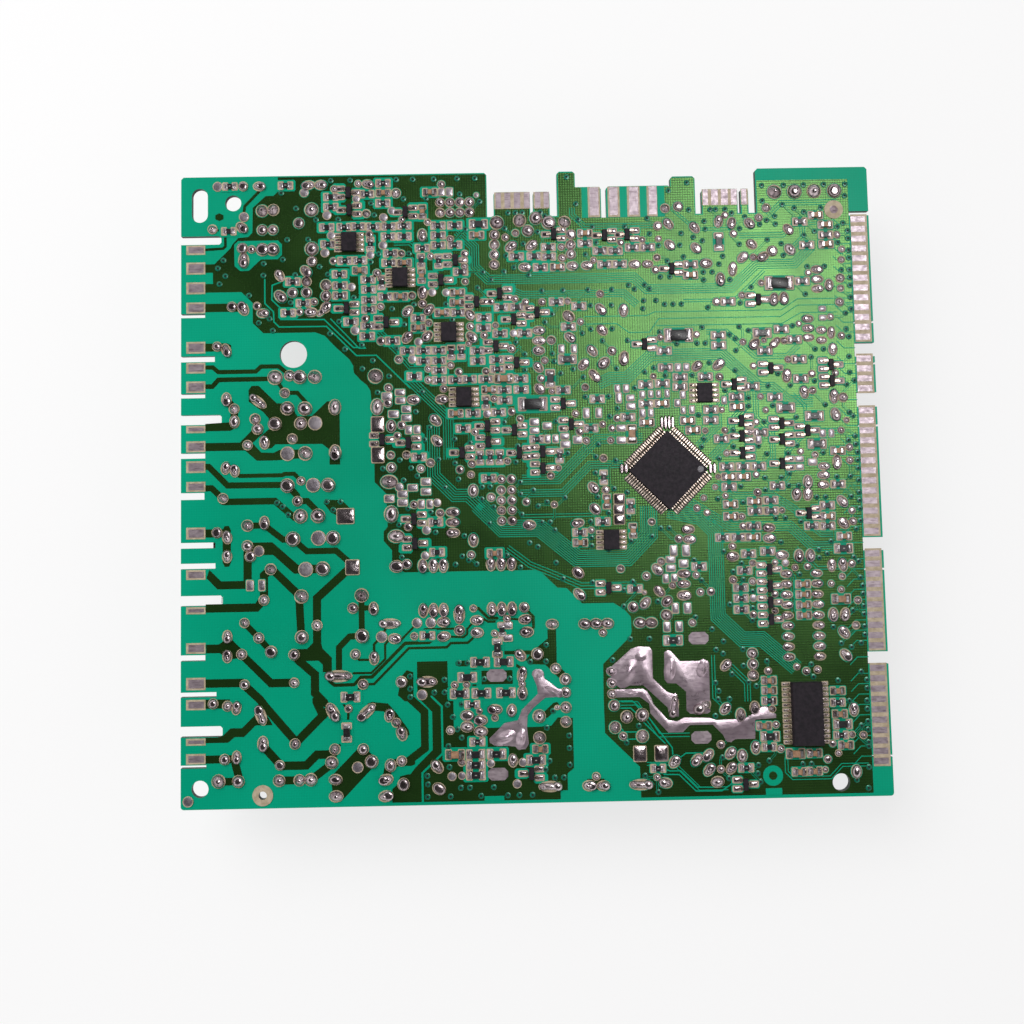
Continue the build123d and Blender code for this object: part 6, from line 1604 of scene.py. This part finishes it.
@dataclass
class Chips(Assembly):
    """Two-terminal chips of one size.

    Attributes:
        node: The CAD node that gives their places.
        name: What they are.
        pad_length: Overall length of the two pads.
        pad_width: Width of the pads.
        gap: Gap between the pads.
        band: Length of each plated end.
        body: Finish of the body.
        slot: Material slot of the body.
        marked: Whether the body has a printed patch.
        rim: How much a pad's window is longer and wider than the pad.
        clear: How much the bare field round both pads is larger than they are.
    """

    node: str
    name: str
    pad_length: float
    pad_width: float
    gap: float
    band: float
    body: Finish
    # slot: Slot name for the body, handed on to put.
    slot: str
    marked: bool = False
    rim: tuple[float, float] = (0.22, 0.26)
    clear: float = 0.64

    def places(self) -> tuple[Array, Array]:
        """Where the chips are.

        Returns:
            Rows for copies, and the length, width and height of one.
        """
        boxes = boxes_of(self.node)
        upright = boxes[:, 3] > boxes[:, 2]
        turn = np.where(upright, math.pi / 2, 0.0)
        length = np.where(upright, boxes[:, 3], boxes[:, 2])
        width = np.where(upright, boxes[:, 2], boxes[:, 3])
        height = boxes[:, 5] - boxes[:, 4]
        return unscaled(boxes[:, :2], turn), np.array([length.mean(), width.mean(), height.mean()])

    def wedge(self, size: Array, side: int) -> Shell:
        """Solder at one end: it falls from the plated end to the pad's rim in a hollow curve.

        Args:
            size: The chip's length, width and height.
            side: 1 for the end at the east, -1 for the other.

        Returns:
            The solder's shell.
        """
        length, width, height = size
        inner, outer = self.gap / 2, self.pad_length / 2
        sections = [(inner, outer, self.pad_width, 0.0), (inner, outer - 0.06, self.pad_width - 0.1, 0.1),
                    (inner + 0.08, length / 2 + 0.32, width + 0.16, height * 0.5),
                    (inner + 0.16, length / 2 + 0.1, width - 0.06, height * 0.9)]
        rings = []
        for start, end, across, z in sections:
            ring = rounded(end - start, across, 0.16, 1) + np.array([(start + end) / 2, 0.0])
            rings.append(np.column_stack([ring, np.full(len(ring), z)]))
        return lofted(np.array(rings)).at(0, 0, 0, 0 if side > 0 else math.pi)

    def build(self) -> None:
        """Makes the chips' bodies, ends, solder, rims and clearances."""
        rows, size = self.places()
        length, width, height = size
        count = len(rows)
        tilt = rows.copy()
        tilt[:, 3] += 0.03 * np.sin(np.arange(count) * 2.4)
        middle = tapered([(length - 2 * self.band, width * 0.98, 0.04, 0.05),
                          (length - 2 * self.band, width * 0.98, 0.04, height * 0.86),
                          (length - 2 * self.band - 0.08, width * 0.86, 0.04, height)])
        self.put(f"{self.name}_bodies", middle.copies(tilt), self.body, self.slot, [self.node])
        if self.marked:
            mark = slab(0.5, 0.2, 0.05, height - 0.02, height + 0.01)
            own = tilt[np.arange(count) % 3 != 0]
            self.put(f"{self.name}_prints", mark.copies(own), CHIP_MARK, self.slot)
        end = tapered([(self.band, width, 0.05, 0.02), (self.band, width, 0.05, height * 0.92),
                       (self.band * 0.8, width * 0.9, 0.05, height * 1.02)])
        reach = (length - self.band) / 2
        ends = joined(end.at(way * reach, 0) for way in (-1, 1))
        self.put(f"{self.name}_ends", ends.copies(tilt), TERMINAL, "solder")
        wedges = joined([self.wedge(size, 1), self.wedge(size, -1)])
        self.put(f"{self.name}_solder", wedges.copies(rows), SOLDER, "solder")
        pad = (self.pad_length - self.gap) / 2
        offset = (self.pad_length + self.gap) / 4
        rim = slab(pad + self.rim[0], self.pad_width + self.rim[1], 0.2)
        rims = joined(rim.at(way * offset, 0) for way in (-1, 1))
        clear = slab(self.pad_length + self.clear, self.pad_width + self.clear, 0.3)
        self.surround(self.name, rims, clear, rows, len(self.name))


@dataclass
class SmallTransistors(Assembly):
    """Three-lead transistors: one lead on one side, two on the other.

    Attributes:
        pad: Length and width of a pad.
        reach: From the body's middle to a pad's middle.
        spread: From the middle line to each of the two leads.
        lead: Width and thickness of a lead.
        foot: Length of its foot, its middle's distance from the body's middle, and its height.
        knee: The same of its knee, with the distance from the body's side.
        rim: How much a pad's window is larger than the pad.
        clear: How much its bare field is larger than the pad.
    """

    pad: tuple[float, float] = (2.2, 1.35)
    reach: float = 2.0
    spread: float = 1.05
    lead: tuple[float, float] = (0.55, 0.2)
    foot: tuple[float, float, float] = (0.75, 1.45, 0.28)
    knee: tuple[float, float, float] = (0.3, 0.2, 0.1)
    rim: float = 0.26
    clear: float = 0.8

    def build(self) -> None:
        """Makes bodies, leads, solder, rims and clearances."""
        boxes = boxes_of("transistors_sot")
        west = np.array(SINGLE_LEAD_WEST, dtype=float)
        near = np.abs(boxes[:, None, :2] - west[None]).max(axis=2).min(axis=1)
        side = np.where(near < 0.15, Side.WEST.value, Side.EAST.value)
        rows = unscaled(boxes[:, :2], np.where(side > 0, 0.0, math.pi))
        width, length = boxes[:, 2].mean(), boxes[:, 3].mean()
        height = (boxes[:, 5] - boxes[:, 4]).mean()
        body = tapered([(width * 0.86, length * 0.95, 0.06, 0.1), (width, length, 0.06, height * 0.45),
                        (width * 0.8, length * 0.92, 0.06, height)])
        self.put("transistor_bodies", body.copies(rows), PACKAGE, "package", ["transistors_sot"])
        spots = [(self.reach, 0.0), (-self.reach, self.spread), (-self.reach, -self.spread)]
        leads, pads, rims, clears = [], [], [], []
        for x, y in spots:
            way = math.copysign(1.0, x)
            foot = slab(self.foot[0], self.lead[0], 0.05, 0.0, self.lead[1])
            knee = slab(self.knee[0], self.lead[0], 0.05, 0.0, height * 0.5)
            leads.append(foot.at(way * self.foot[1], y, self.foot[2]))
            leads.append(knee.at(way * (width / 2 + self.knee[1]), y, self.knee[2]))
            a, b = self.pad
            mound = tapered([(a, b, 0.2, 0.0), (a - 0.12, b - 0.12, 0.2, 0.14),
                             (a * 0.62, b * 0.6, 0.2, 0.34)], 2)
            pads.append(mound.at(x, y))
            rims.append(slab(a + self.rim, b + self.rim, 0.25).at(x, y))
            clear = slab(a + self.clear, b + self.clear, 0.4)
            clears.append(clear.copies(np.array([[x, y, 0, 0, 1, 1, 1 + 0.01 * len(clears)]])))
        self.put("transistor_leads", joined(leads).copies(rows), LEAD_METAL, "lead")
        self.put("transistor_solder", joined(pads).copies(rows), SOLDER, "solder")
        self.surround("transistor", joined(rims), joined(clears), rows, 5)


@dataclass
class FlatPackage(Assembly):
    """A moulded package with rows of gull-wing leads.

    Attributes:
        name: What it is.
        body_node: CAD node of the body or bodies.
        lead_node: CAD node of the leads.
        pad: Length and width of a pad.
        shift: How far the pad's middle lies beyond the lead's.
        draft: How much narrower the top is than the middle.
        turn: The body's angle on the board.
        rimmed: Whether each pad has a bare rim of its own.
        thickness: Thickness of a lead.
    """

    name: str
    body_node: str
    lead_node: str
    pad: tuple[float, float]
    shift: float = 0.25
    draft: float = 0.3
    turn: float = 0.0
    rimmed: bool = True
    thickness: float = 0.16

    def bodies(self) -> tuple[Shell, Array]:
        """Bodies with drafted sides.

        Returns:
            Their shells in one, and the centre of each.
        """
        shells, centres = [], []
        for points in solids_of(self.body_node):
            low, high = points.min(axis=0), points.max(axis=0)
            middle, height = (low + high) / 2, high[2]
            straight = self.straightened(points[:, :2] - middle[:2])
            length, width = straight.max(axis=0) - straight.min(axis=0)
            d = self.draft
            shape = tapered([(length - d, width - d, 0.1, 0.1), (length, width, 0.1, height * 0.5),
                             (length - d * 0.6, width - d * 0.6, 0.1, height * 0.93),
                             (length - d, width - d, 0.1, height)])
            shells.append(shape.at(*middle[:2], 0, self.turn))
            centres.append(middle[:2])
        return joined(shells), np.array(centres)

    def straightened(self, flat: Array) -> Array:
        """Turns points back by the package's angle."""
        cos, sin = math.cos(-self.turn), math.sin(-self.turn)
        x, y = flat[..., 0], flat[..., 1]
        return np.stack([x * cos - y * sin, x * sin + y * cos], axis=-1)

    def leads(self, centres: Array) -> Array:
        """Finds the leads.

        Args:
            centres: The centre of each body.

        Returns:
            Rows of x, y, length, width, and the angle at which each lead leaves its body.
        """
        rows = []
        for points in solids_of(self.lead_node):
            middle = points.mean(axis=0)[:2]
            owner = centres[np.argmin(np.linalg.norm(centres - middle, axis=1))]
            x, y = self.straightened(middle - owner)
            length, width = np.ptp(self.straightened(points[:, :2] - middle), axis=0)
            if length >= width:
                angle = 0.0 if x > 0 else math.pi
            else:
                length, width = width, length
                angle = math.pi / 2 if y > 0 else -math.pi / 2
            rows.append((*middle, length, width, angle + self.turn))
        return np.array(rows)

    def build(self) -> None:
        """Makes the body, the bent leads, the solder on the pads and their rims."""
        shell, centres = self.bodies()
        self.put(f"{self.name}_body", shell, PACKAGE, "package", [self.body_node])
        rows = self.leads(centres)
        count = len(rows)
        length, width = rows[:, 2].mean(), rows[:, 3].mean()
        top = shell.points[:, 2].max() * 0.5
        side = [(length * 0.5, 0.2), (length * 0.02, 0.22), (-length * 0.28, top), (-length * 0.62, top)]
        across, deep = width / 2, self.thickness / 2
        ring = ((-across, -deep), (-across, deep), (across, deep), (across, -deep))
        blade = lofted(np.array([[(x, y, z + step) for y, step in ring] for x, z in side]))
        places = unscaled(rows[:, :2], rows[:, 4])
        self.put(f"{self.name}_leads", blade.copies(places), LEAD_METAL, "lead", [self.lead_node])
        a, b = self.pad
        ahead = places.copy()
        ahead[:, 0] += self.shift * np.cos(rows[:, 4])
        ahead[:, 1] += self.shift * np.sin(rows[:, 4])
        corner = min(0.2, b * 0.3)
        mound = tapered([(a, b, corner, 0.0), (a * 0.96, b * 0.9, corner, 0.12),
                         (a * 0.7, b * 0.5, corner * 0.6, 0.26)])
        self.put(f"{self.name}_solder", mound.copies(ahead), SOLDER, "solder")
        if not self.rimmed:
            return
        edge = min(0.3, b * 0.35)
        rim = slab(a + edge, b + edge, 0.1)
        ahead[:, 6] = Level.RIM.value + staggered(count)
        self.put(f"{self.name}_rims", rim.copies(ahead), MASK_RIM, "bare")


@dataclass
class Processor(FlatPackage):
    """The processor: with solder that bridged outer leads at three corners, a mark at pin one, and painted
    shade under its leads.

    Attributes:
        lobes: Solder lobes as x, y and size across and along.
        swell: Width and height of one narrow swell in a lobe.
        strip: Width of the strips of painted shade under the leads, and how much shorter they are than the
            body's side.
        away: From the body's side to a strip's middle.
        mark: Place and diameter of the mark.
    """

    lobes: tuple[tuple[float, float, float, float], ...] = (
        (120.9, 92.2, 3.6, 4.0), (131.8, 80.6, 2.0, 3.1), (109.8, 80.9, 2.2, 2.8))
    swell: tuple[float, float] = (0.95, 0.55)
    strip: tuple[float, float] = (2.5, 1.2)
    away: float = 1.0
    mark: tuple[float, float, float] = (128.6, 80.4, 1.5)

    def build(self) -> None:
        """Makes the package, the lobes in narrow swells, the painted shade under the leads, and the mark.
        """
        super().build()
        top = boxes_of(self.body_node)[0, 5]
        swell = tapered([(1.0, 1.0, 0.4, 0.0), (0.92, 0.96, 0.4, 0.5), (0.5, 0.8, 0.24, 1.0)], 2)
        rows = []
        for x, y, across, along in self.lobes:
            count = max(2, round(across / self.swell[0]))
            width = across / count
            rows += [(x - across / 2 + width * (i + 0.5), y, 0.0, 0.0, width * 1.05,
                      along * (1.0 - 0.12 * abs(i - (count - 1) / 2)), self.swell[1]) for i in range(count)]
        self.put("processor_lobes", swell.copies(np.array(rows)), SOLDER, "solder")
        # painted shade: dark strips under the leads, where they shade the laminate
        self.put("processor_painted_shade", self.bed(), LEAD_SHADE_PAINT, "laminate")
        x, y, size = self.mark
        dot = turned_profile([(0.5, -0.02), (0.5, 0.012)], 20)
        self.put("processor_mark", dot.copies(np.array([[x, y, top, 0.0, size, size, 1.0]])), WORN_PACKAGE,
                 "package")

    def bed(self) -> Shell:
        """Strips of painted shade under the four rows of leads.

        Returns:
            The four strips.
        """
        x, y, size = boxes_of(self.body_node)[0, :3]
        side = size / math.sqrt(2)
        strip = slab(self.strip[0], side - self.strip[1], 0.2)
        angles = self.turn + np.arange(4) * math.pi / 2
        away = side / 2 + self.away
        rows = unscaled(np.column_stack([x + away * np.cos(angles), y + away * np.sin(angles)]), angles)
        rows[:, 6] = Level.LINK.value + staggered(4, 7)
        return strip.copies(rows)


@dataclass
class ComponentSide(Assembly):
    """The leaded parts under the board: their finishes, and details that the plain solids lack.

    Attributes:
        groove: Width and depth of a can's vent grooves.
        vent_turn: Angle of the grooves.
        stripe: Half the angle that a sleeve's stripe covers.
        stripe_turn: How much each can is turned beyond the one before.
    """

    groove: tuple[float, float] = (0.3, 0.012)
    vent_turn: float = 0.6
    stripe: float = 0.42
    stripe_turn: float = 1.3

    def cans(self, node: str) -> tuple[Shell, Shell, Shell]:
        """Vented ends, sleeve stripes and painted shade in the vent grooves of a node's upright cans.

        Args:
            node: The CAD node's name.

        Returns:
            The ends, the stripes and the painted shade in the grooves.
        """
        ends, stripes, groove_shades = [], [], []
        end = turned_profile([(0.36, -0.02), (0.4, 0.0), (0.4, 0.2), (0.36, 0.24)], 20)
        arc = np.linspace(-self.stripe, self.stripe, 7)
        arc = np.column_stack([np.cos(arc), np.sin(arc)])
        for number, (x, y, length, width, low, high) in enumerate(boxes_of(node)):
            size, tall = min(length, width), high - low
            ends.append(end.copies(np.array([[x, y, low + 0.012, 0.0, size, size, 0.5]])))
            # painted shade: the vent grooves are dark strips laid on the can's end
            groove = slab(size * 0.56, self.groove[0], 0.1, 0.0, self.groove[1])
            groove_shades += [groove.at(x, y, low, turn + self.vent_turn) for turn in (0.0, math.pi / 2)]
            outline = np.vstack([arc * (size / 2 + 0.03), arc[::-1] * (size / 2 - 0.2)])
            strip = prism(outline, low + tall * 0.06, high - tall * 0.12)
            stripes.append(strip.at(x, y, 0.0, number * self.stripe_turn))
        return joined(ends), joined(stripes), joined(groove_shades)

    def build(self) -> None:
        """Dresses the CAD parts and adds what shows on them."""
        for node, finish in COMPONENT_FINISHES.items():
            self.dress(node, finish)
        for node in ("electrolytics_tall", "electrolytics"):
            ends, stripes, groove_shades = self.cans(node)
            self.put(f"{node}_ends", ends, ALUMINIUM, "sink")
            self.put(f"{node}_stripes", stripes, SLEEVE_STRIPE, "sleeve")
            # painted shade in the vent grooves, in the dark package finish
            self.put(f"{node}_vent_shade", groove_shades, PACKAGE, "sleeve")


@dataclass
class EdgeContacts(Assembly):
    """Tinned contacts on three edges, with the bare windows round them.

    Attributes:
        left_window: Start and end of the windows on the left edge.
        left_tin: Start and end of the tin in them.
        draw_in: How far a window and its tin stay inside a land's width, at each side.
        right_window: Start and end of the strips on the right edge.
        right_pitch: Half the pitch of its contacts, and the pitch over which a strip ends.
        eyelet: Radius of the hole in an eyelet.
    """

    left_window: tuple[float, float] = (1.32, 6.05)
    left_tin: tuple[float, float] = (1.9, 5.65)
    draw_in: tuple[float, float] = (0.16, 0.6)
    right_window: tuple[float, float] = (168.85, 173.0)
    right_pitch: tuple[float, float] = (1.25, 3.2)
    eyelet: float = 1.0

    def windows(self) -> Shell:
        """The windows as thin plates from the contacts' own places.

        Returns:
            All windows.
        """
        half, most = self.right_pitch
        start, end = self.right_window
        right = np.sort(boxes_of("contacts_right")[:, 1])
        groups = np.split(right, np.where(np.diff(right) > most)[0] + 1)
        outlines = self.left_plates(self.left_window, self.draw_in[0])
        outlines += [rectangle(start, group.min() - half, end, group.max() + half) for group in groups]
        outlines += [rectangle(*window) for window in TOP_WINDOWS]
        return joined(prism(o, 0.0, Level.WINDOW.value + 0.0001 * n) for n, o in enumerate(outlines))

    @staticmethod
    def left_plates(span: tuple[float, float], step: float) -> list[Path]:
        """Rectangles on the left lands, from one x to another and drawn in at both sides."""
        return [rectangle(span[0], y - width / 2 + step, span[1], y + width / 2 - step)
                for _, y, _, width, *_ in boxes_of("contacts_left")]

    def eyelets(self) -> Shell:
        """Bare rings round the two eyelets, as round plates with a round hole.

        Returns:
            Both rings.
        """
        angle = np.linspace(0, 2 * math.pi, 36, endpoint=False)
        circle = np.column_stack([np.cos(angle), np.sin(angle)])
        return joined(prism(pierced(circle * length / 2 + (x, y), x, y, self.eyelet), 0.0, Level.RIM.value)
                      for x, y, length, *_ in boxes_of("test_rings"))

    def build(self) -> None:
        """Dresses the contacts and makes their windows."""
        for node in ("contacts_right", "contacts_top", "lug_pads"):
            self.dress(node, TIN)
        tin = self.left_plates(self.left_tin, self.draw_in[1])
        self.put("left_contact_faces", joined(prism(o, 0.0, Level.LINK.value) for o in tin), TIN, "tin",
                 ["contacts_left"])
        self.put("test_ring_faces", self.eyelets(), MASK_RIM, "bare", ["test_rings"])
        self.put("contact_windows", self.windows(), MASK_RIM, "bare")


# share of the floor that glows
GLOW = 0.72
# brightness of the sky by its height, from 0 at the horizon to 1 overhead
SKY = [(0.0, 0.3), (0.22, 0.6), (0.4, 1.15), (0.62, 1.0), (0.76, 0.06), (1.0, 0.02)]


@dataclass
class Studio:
    """Floor, lamps, sky and camera, all in metres.

    Attributes:
        lens: The camera's focal length in millimetres.
        sensor: Its sensor's width in millimetres.
        place: Where it stands.
        turn: How it is turned.
        offset: How far its frame is moved sideways and up.
        clip: The nearest and the farthest that it sees.
        half: Half the floor's side.
    """

    lens: float = 38.67
    sensor: float = 36.0
    place: tuple[float, float, float] = (-0.014735, -0.009097, 0.294379)
    turn: tuple[float, float, float] = (0.0717, -0.0067, -0.01851)
    offset: tuple[float, float] = (0.03125, -0.0703)
    clip: tuple[float, float] = (0.01, 20.0)
    half: float = 6.0

    def floor(self) -> None:
        """A pale floor far wider than the board."""
        mesh = bpy.data.meshes.new("floor")
        corners = [(x * self.half, y * self.half, 0) for x, y in ((-1, -1), (1, -1), (1, 1), (-1, 1))]
        mesh.from_pydata(corners, [], [(0, 1, 2, 3)])
        finish = Finish("studio_floor", (0.93, 0.93, 0.93, 1.0), (0.91, 0.91, 0.91, 1.0), cells=3.0,
                        rough=(0.8, 0.9), relief=0.0, specular=0.1)
        mesh.materials.append(self.lifted(finish.material()))
        floor = bpy.data.objects.new("floor", mesh)
        bpy.context.scene.collection.objects.link(floor)

    @staticmethod
    def lifted(material: bpy.types.Material) -> bpy.types.Material:
        """Mixes part of a white glow into a floor where the camera or a gloss ray meets it.

        Args:
            material: The floor's material.

        Returns:
            The same material.
        """
        graph = Graph(material)
        rays = graph.add("ShaderNodeLightPath").outputs
        either = graph.math("MAXIMUM", rays["Is Camera Ray"], rays["Is Glossy Ray"])
        mix = graph.add("ShaderNodeMixShader", Fac=graph.math("MULTIPLY", either, GLOW))
        graph.feed(mix.inputs[1], graph.shader.outputs["BSDF"])
        graph.feed(mix.inputs[2], graph.add("ShaderNodeEmission").outputs["Emission"])
        graph.feed(graph.found("OUTPUT_MATERIAL").inputs["Surface"], mix.outputs["Shader"])
        return material

    @staticmethod
    def sky() -> None:
        """A soft room: dim overhead, bright walls in uneven patches, and dimmer at the horizon."""
        world = bpy.data.worlds.new("studio")
        bpy.context.scene.world = world
        graph = Graph(world, "BACKGROUND", "Generated")
        up = graph.add("ShaderNodeSeparateXYZ", Vector=graph.place).outputs["Z"]
        walls = graph.ramp(up, *((z, (v, v * 0.97, v * 0.98, 1.0)) for z, v in SKY))
        graph.wire("Color", walls)
        graph.wire("Strength", graph.span(graph.noise(2.2, 1.0), 0.3, 1.25, 0.42, 0.6))

    def lamp(self, name: str, place: tuple[float, float, float], size: float, power: float,
             glossy: bool = True, diffuse: bool = True) -> None:
        """A square soft lamp that faces the board's middle.

        Args:
            name: What it is.
            place: Where it is.
            size: Its side.
            power: Its power in watts.
            glossy: Whether gloss shows it.
            diffuse: Whether it lights matt surfaces.
        """
        data = bpy.data.lights.new(name, "AREA")
        data.shape, data.size, data.energy = "SQUARE", size, power
        lamp = bpy.data.objects.new(name, data)
        lamp.location, lamp.visible_glossy, lamp.visible_diffuse = place, glossy, diffuse
        away = np.array(place) - np.array([0.0, 0.0, 0.02])
        flat = math.hypot(away[0], away[1])
        lamp.rotation_euler = (math.atan2(flat, away[2]), 0.0, math.atan2(away[1], away[0]) + math.pi / 2)
        bpy.context.scene.collection.objects.link(lamp)

    def build(self) -> None:
        """Sets the floor, the lamps, the sky and the camera."""
        self.floor()
        self.lamp("key", (0.218, 0.143, 0.60), 0.23, 1.82, diffuse=False)
        self.lamp("fill", (-0.45, 0.5, 0.8), 0.7, 8.4, glossy=False)
        self.sky()
        data = bpy.data.cameras.new("view")
        data.sensor_width, data.lens = self.sensor, self.lens
        data.shift_x, data.shift_y = self.offset
        data.clip_start, data.clip_end = self.clip
        camera = bpy.data.objects.new("view", data)
        camera.location, camera.rotation_euler = self.place, self.turn
        bpy.context.scene.collection.objects.link(camera)
        bpy.context.scene.camera = camera
        bpy.context.scene.view_settings.view_transform = "Standard"


COMPONENT_FINISHES = {
    "electrolytics_tall": SLEEVE, "electrolytics": SLEEVE, "film_capacitors": FILM_BOX,
    "axial_parts": AXIAL_BODY, "transistors_leaded": PACKAGE, "driver_dip": PACKAGE,
    "driver_dip_leads": LEAD_METAL, "optocouplers": WHITE_PLASTIC, "optocoupler_leads": LEAD_METAL,
    "header_pins": LEAD_METAL, "header_blocks": WHITE_PLASTIC, "row_connector": BLACK_PLASTIC,
    "row_connector_pins": LEAD_METAL, "fuse_caps": LEAD_METAL, "fuse_clips": LEAD_METAL,
    "fuse_glass": GLASS, "choke_base": BLACK_PLASTIC, "choke_core": FERRITE,
    "choke_windings": COPPER_WIRE, "transformer_rails": BLACK_PLASTIC, "transformer_core": FERRITE,
    "transformer_winding": TAPE, "heat_sink_1": SINK_METAL, "heat_sink_2": SINK_METAL,
    "power_transistors": PACKAGE, "discs": BROWN_LACQUER, "varistor": BLUE_LACQUER,
    **{f"relay_{number}": RELAY_CASE for number in range(1, 6)},
}


def chip_kinds() -> list[Chips]:
    """The sizes of two-terminal chips on the board.

    Returns:
        A builder for each size.
    """
    return [
        Chips("resistors_0805", "resistor_0805", 3.7, 1.9, 1.1, 0.42, CHIP_BLACK, "chip_black", True),
        Chips("capacitors_0805", "capacitor_0805", 3.7, 1.9, 1.1, 0.48, CHIP_BROWN, "chip_brown"),
        Chips("resistors_1206", "resistor_1206", 4.6, 2.3, 1.7, 0.5, CHIP_BLACK, "chip_black", True),
        Chips("capacitors_1206", "capacitor_1206", 4.6, 2.3, 1.7, 0.6, CHIP_BROWN, "chip_brown"),
        Chips("shunts", "shunt", 7.2, 3.3, 3.4, 0.6, CHIP_BLACK, "chip_black", True),
    ]


def packages() -> list[FlatPackage]:
    """The packages with rows of leads.

    Returns:
        A builder for each kind.
    """
    return [
        Processor("processor", "processor", "processor_leads", (2.0, 0.36), 0.25, 0.3, math.radians(45),
                  rimmed=False),
        FlatPackage("driver_so24", "driver_so24", "driver_so24_leads", (1.9, 0.8), 0.2, 0.4),
        FlatPackage("so8", "so8_bodies", "so8_leads", (1.7, 0.8), 0.35, 0.3),
    ]


def main() -> None:
    """Builds every assembly in order."""
    logging.basicConfig(level=logging.INFO, format="%(name)s: %(message)s")
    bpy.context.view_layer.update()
    Assembly.dress("board", MASK)
    Artwork().build()
    EdgeContacts().build()
    SolderJoints().build()
    for kind in chip_kinds():
        kind.build()
    SmallTransistors().build()
    for package in packages():
        package.build()
    ComponentSide().build()
    Studio().build()


if __name__ == "__main__":
    main()
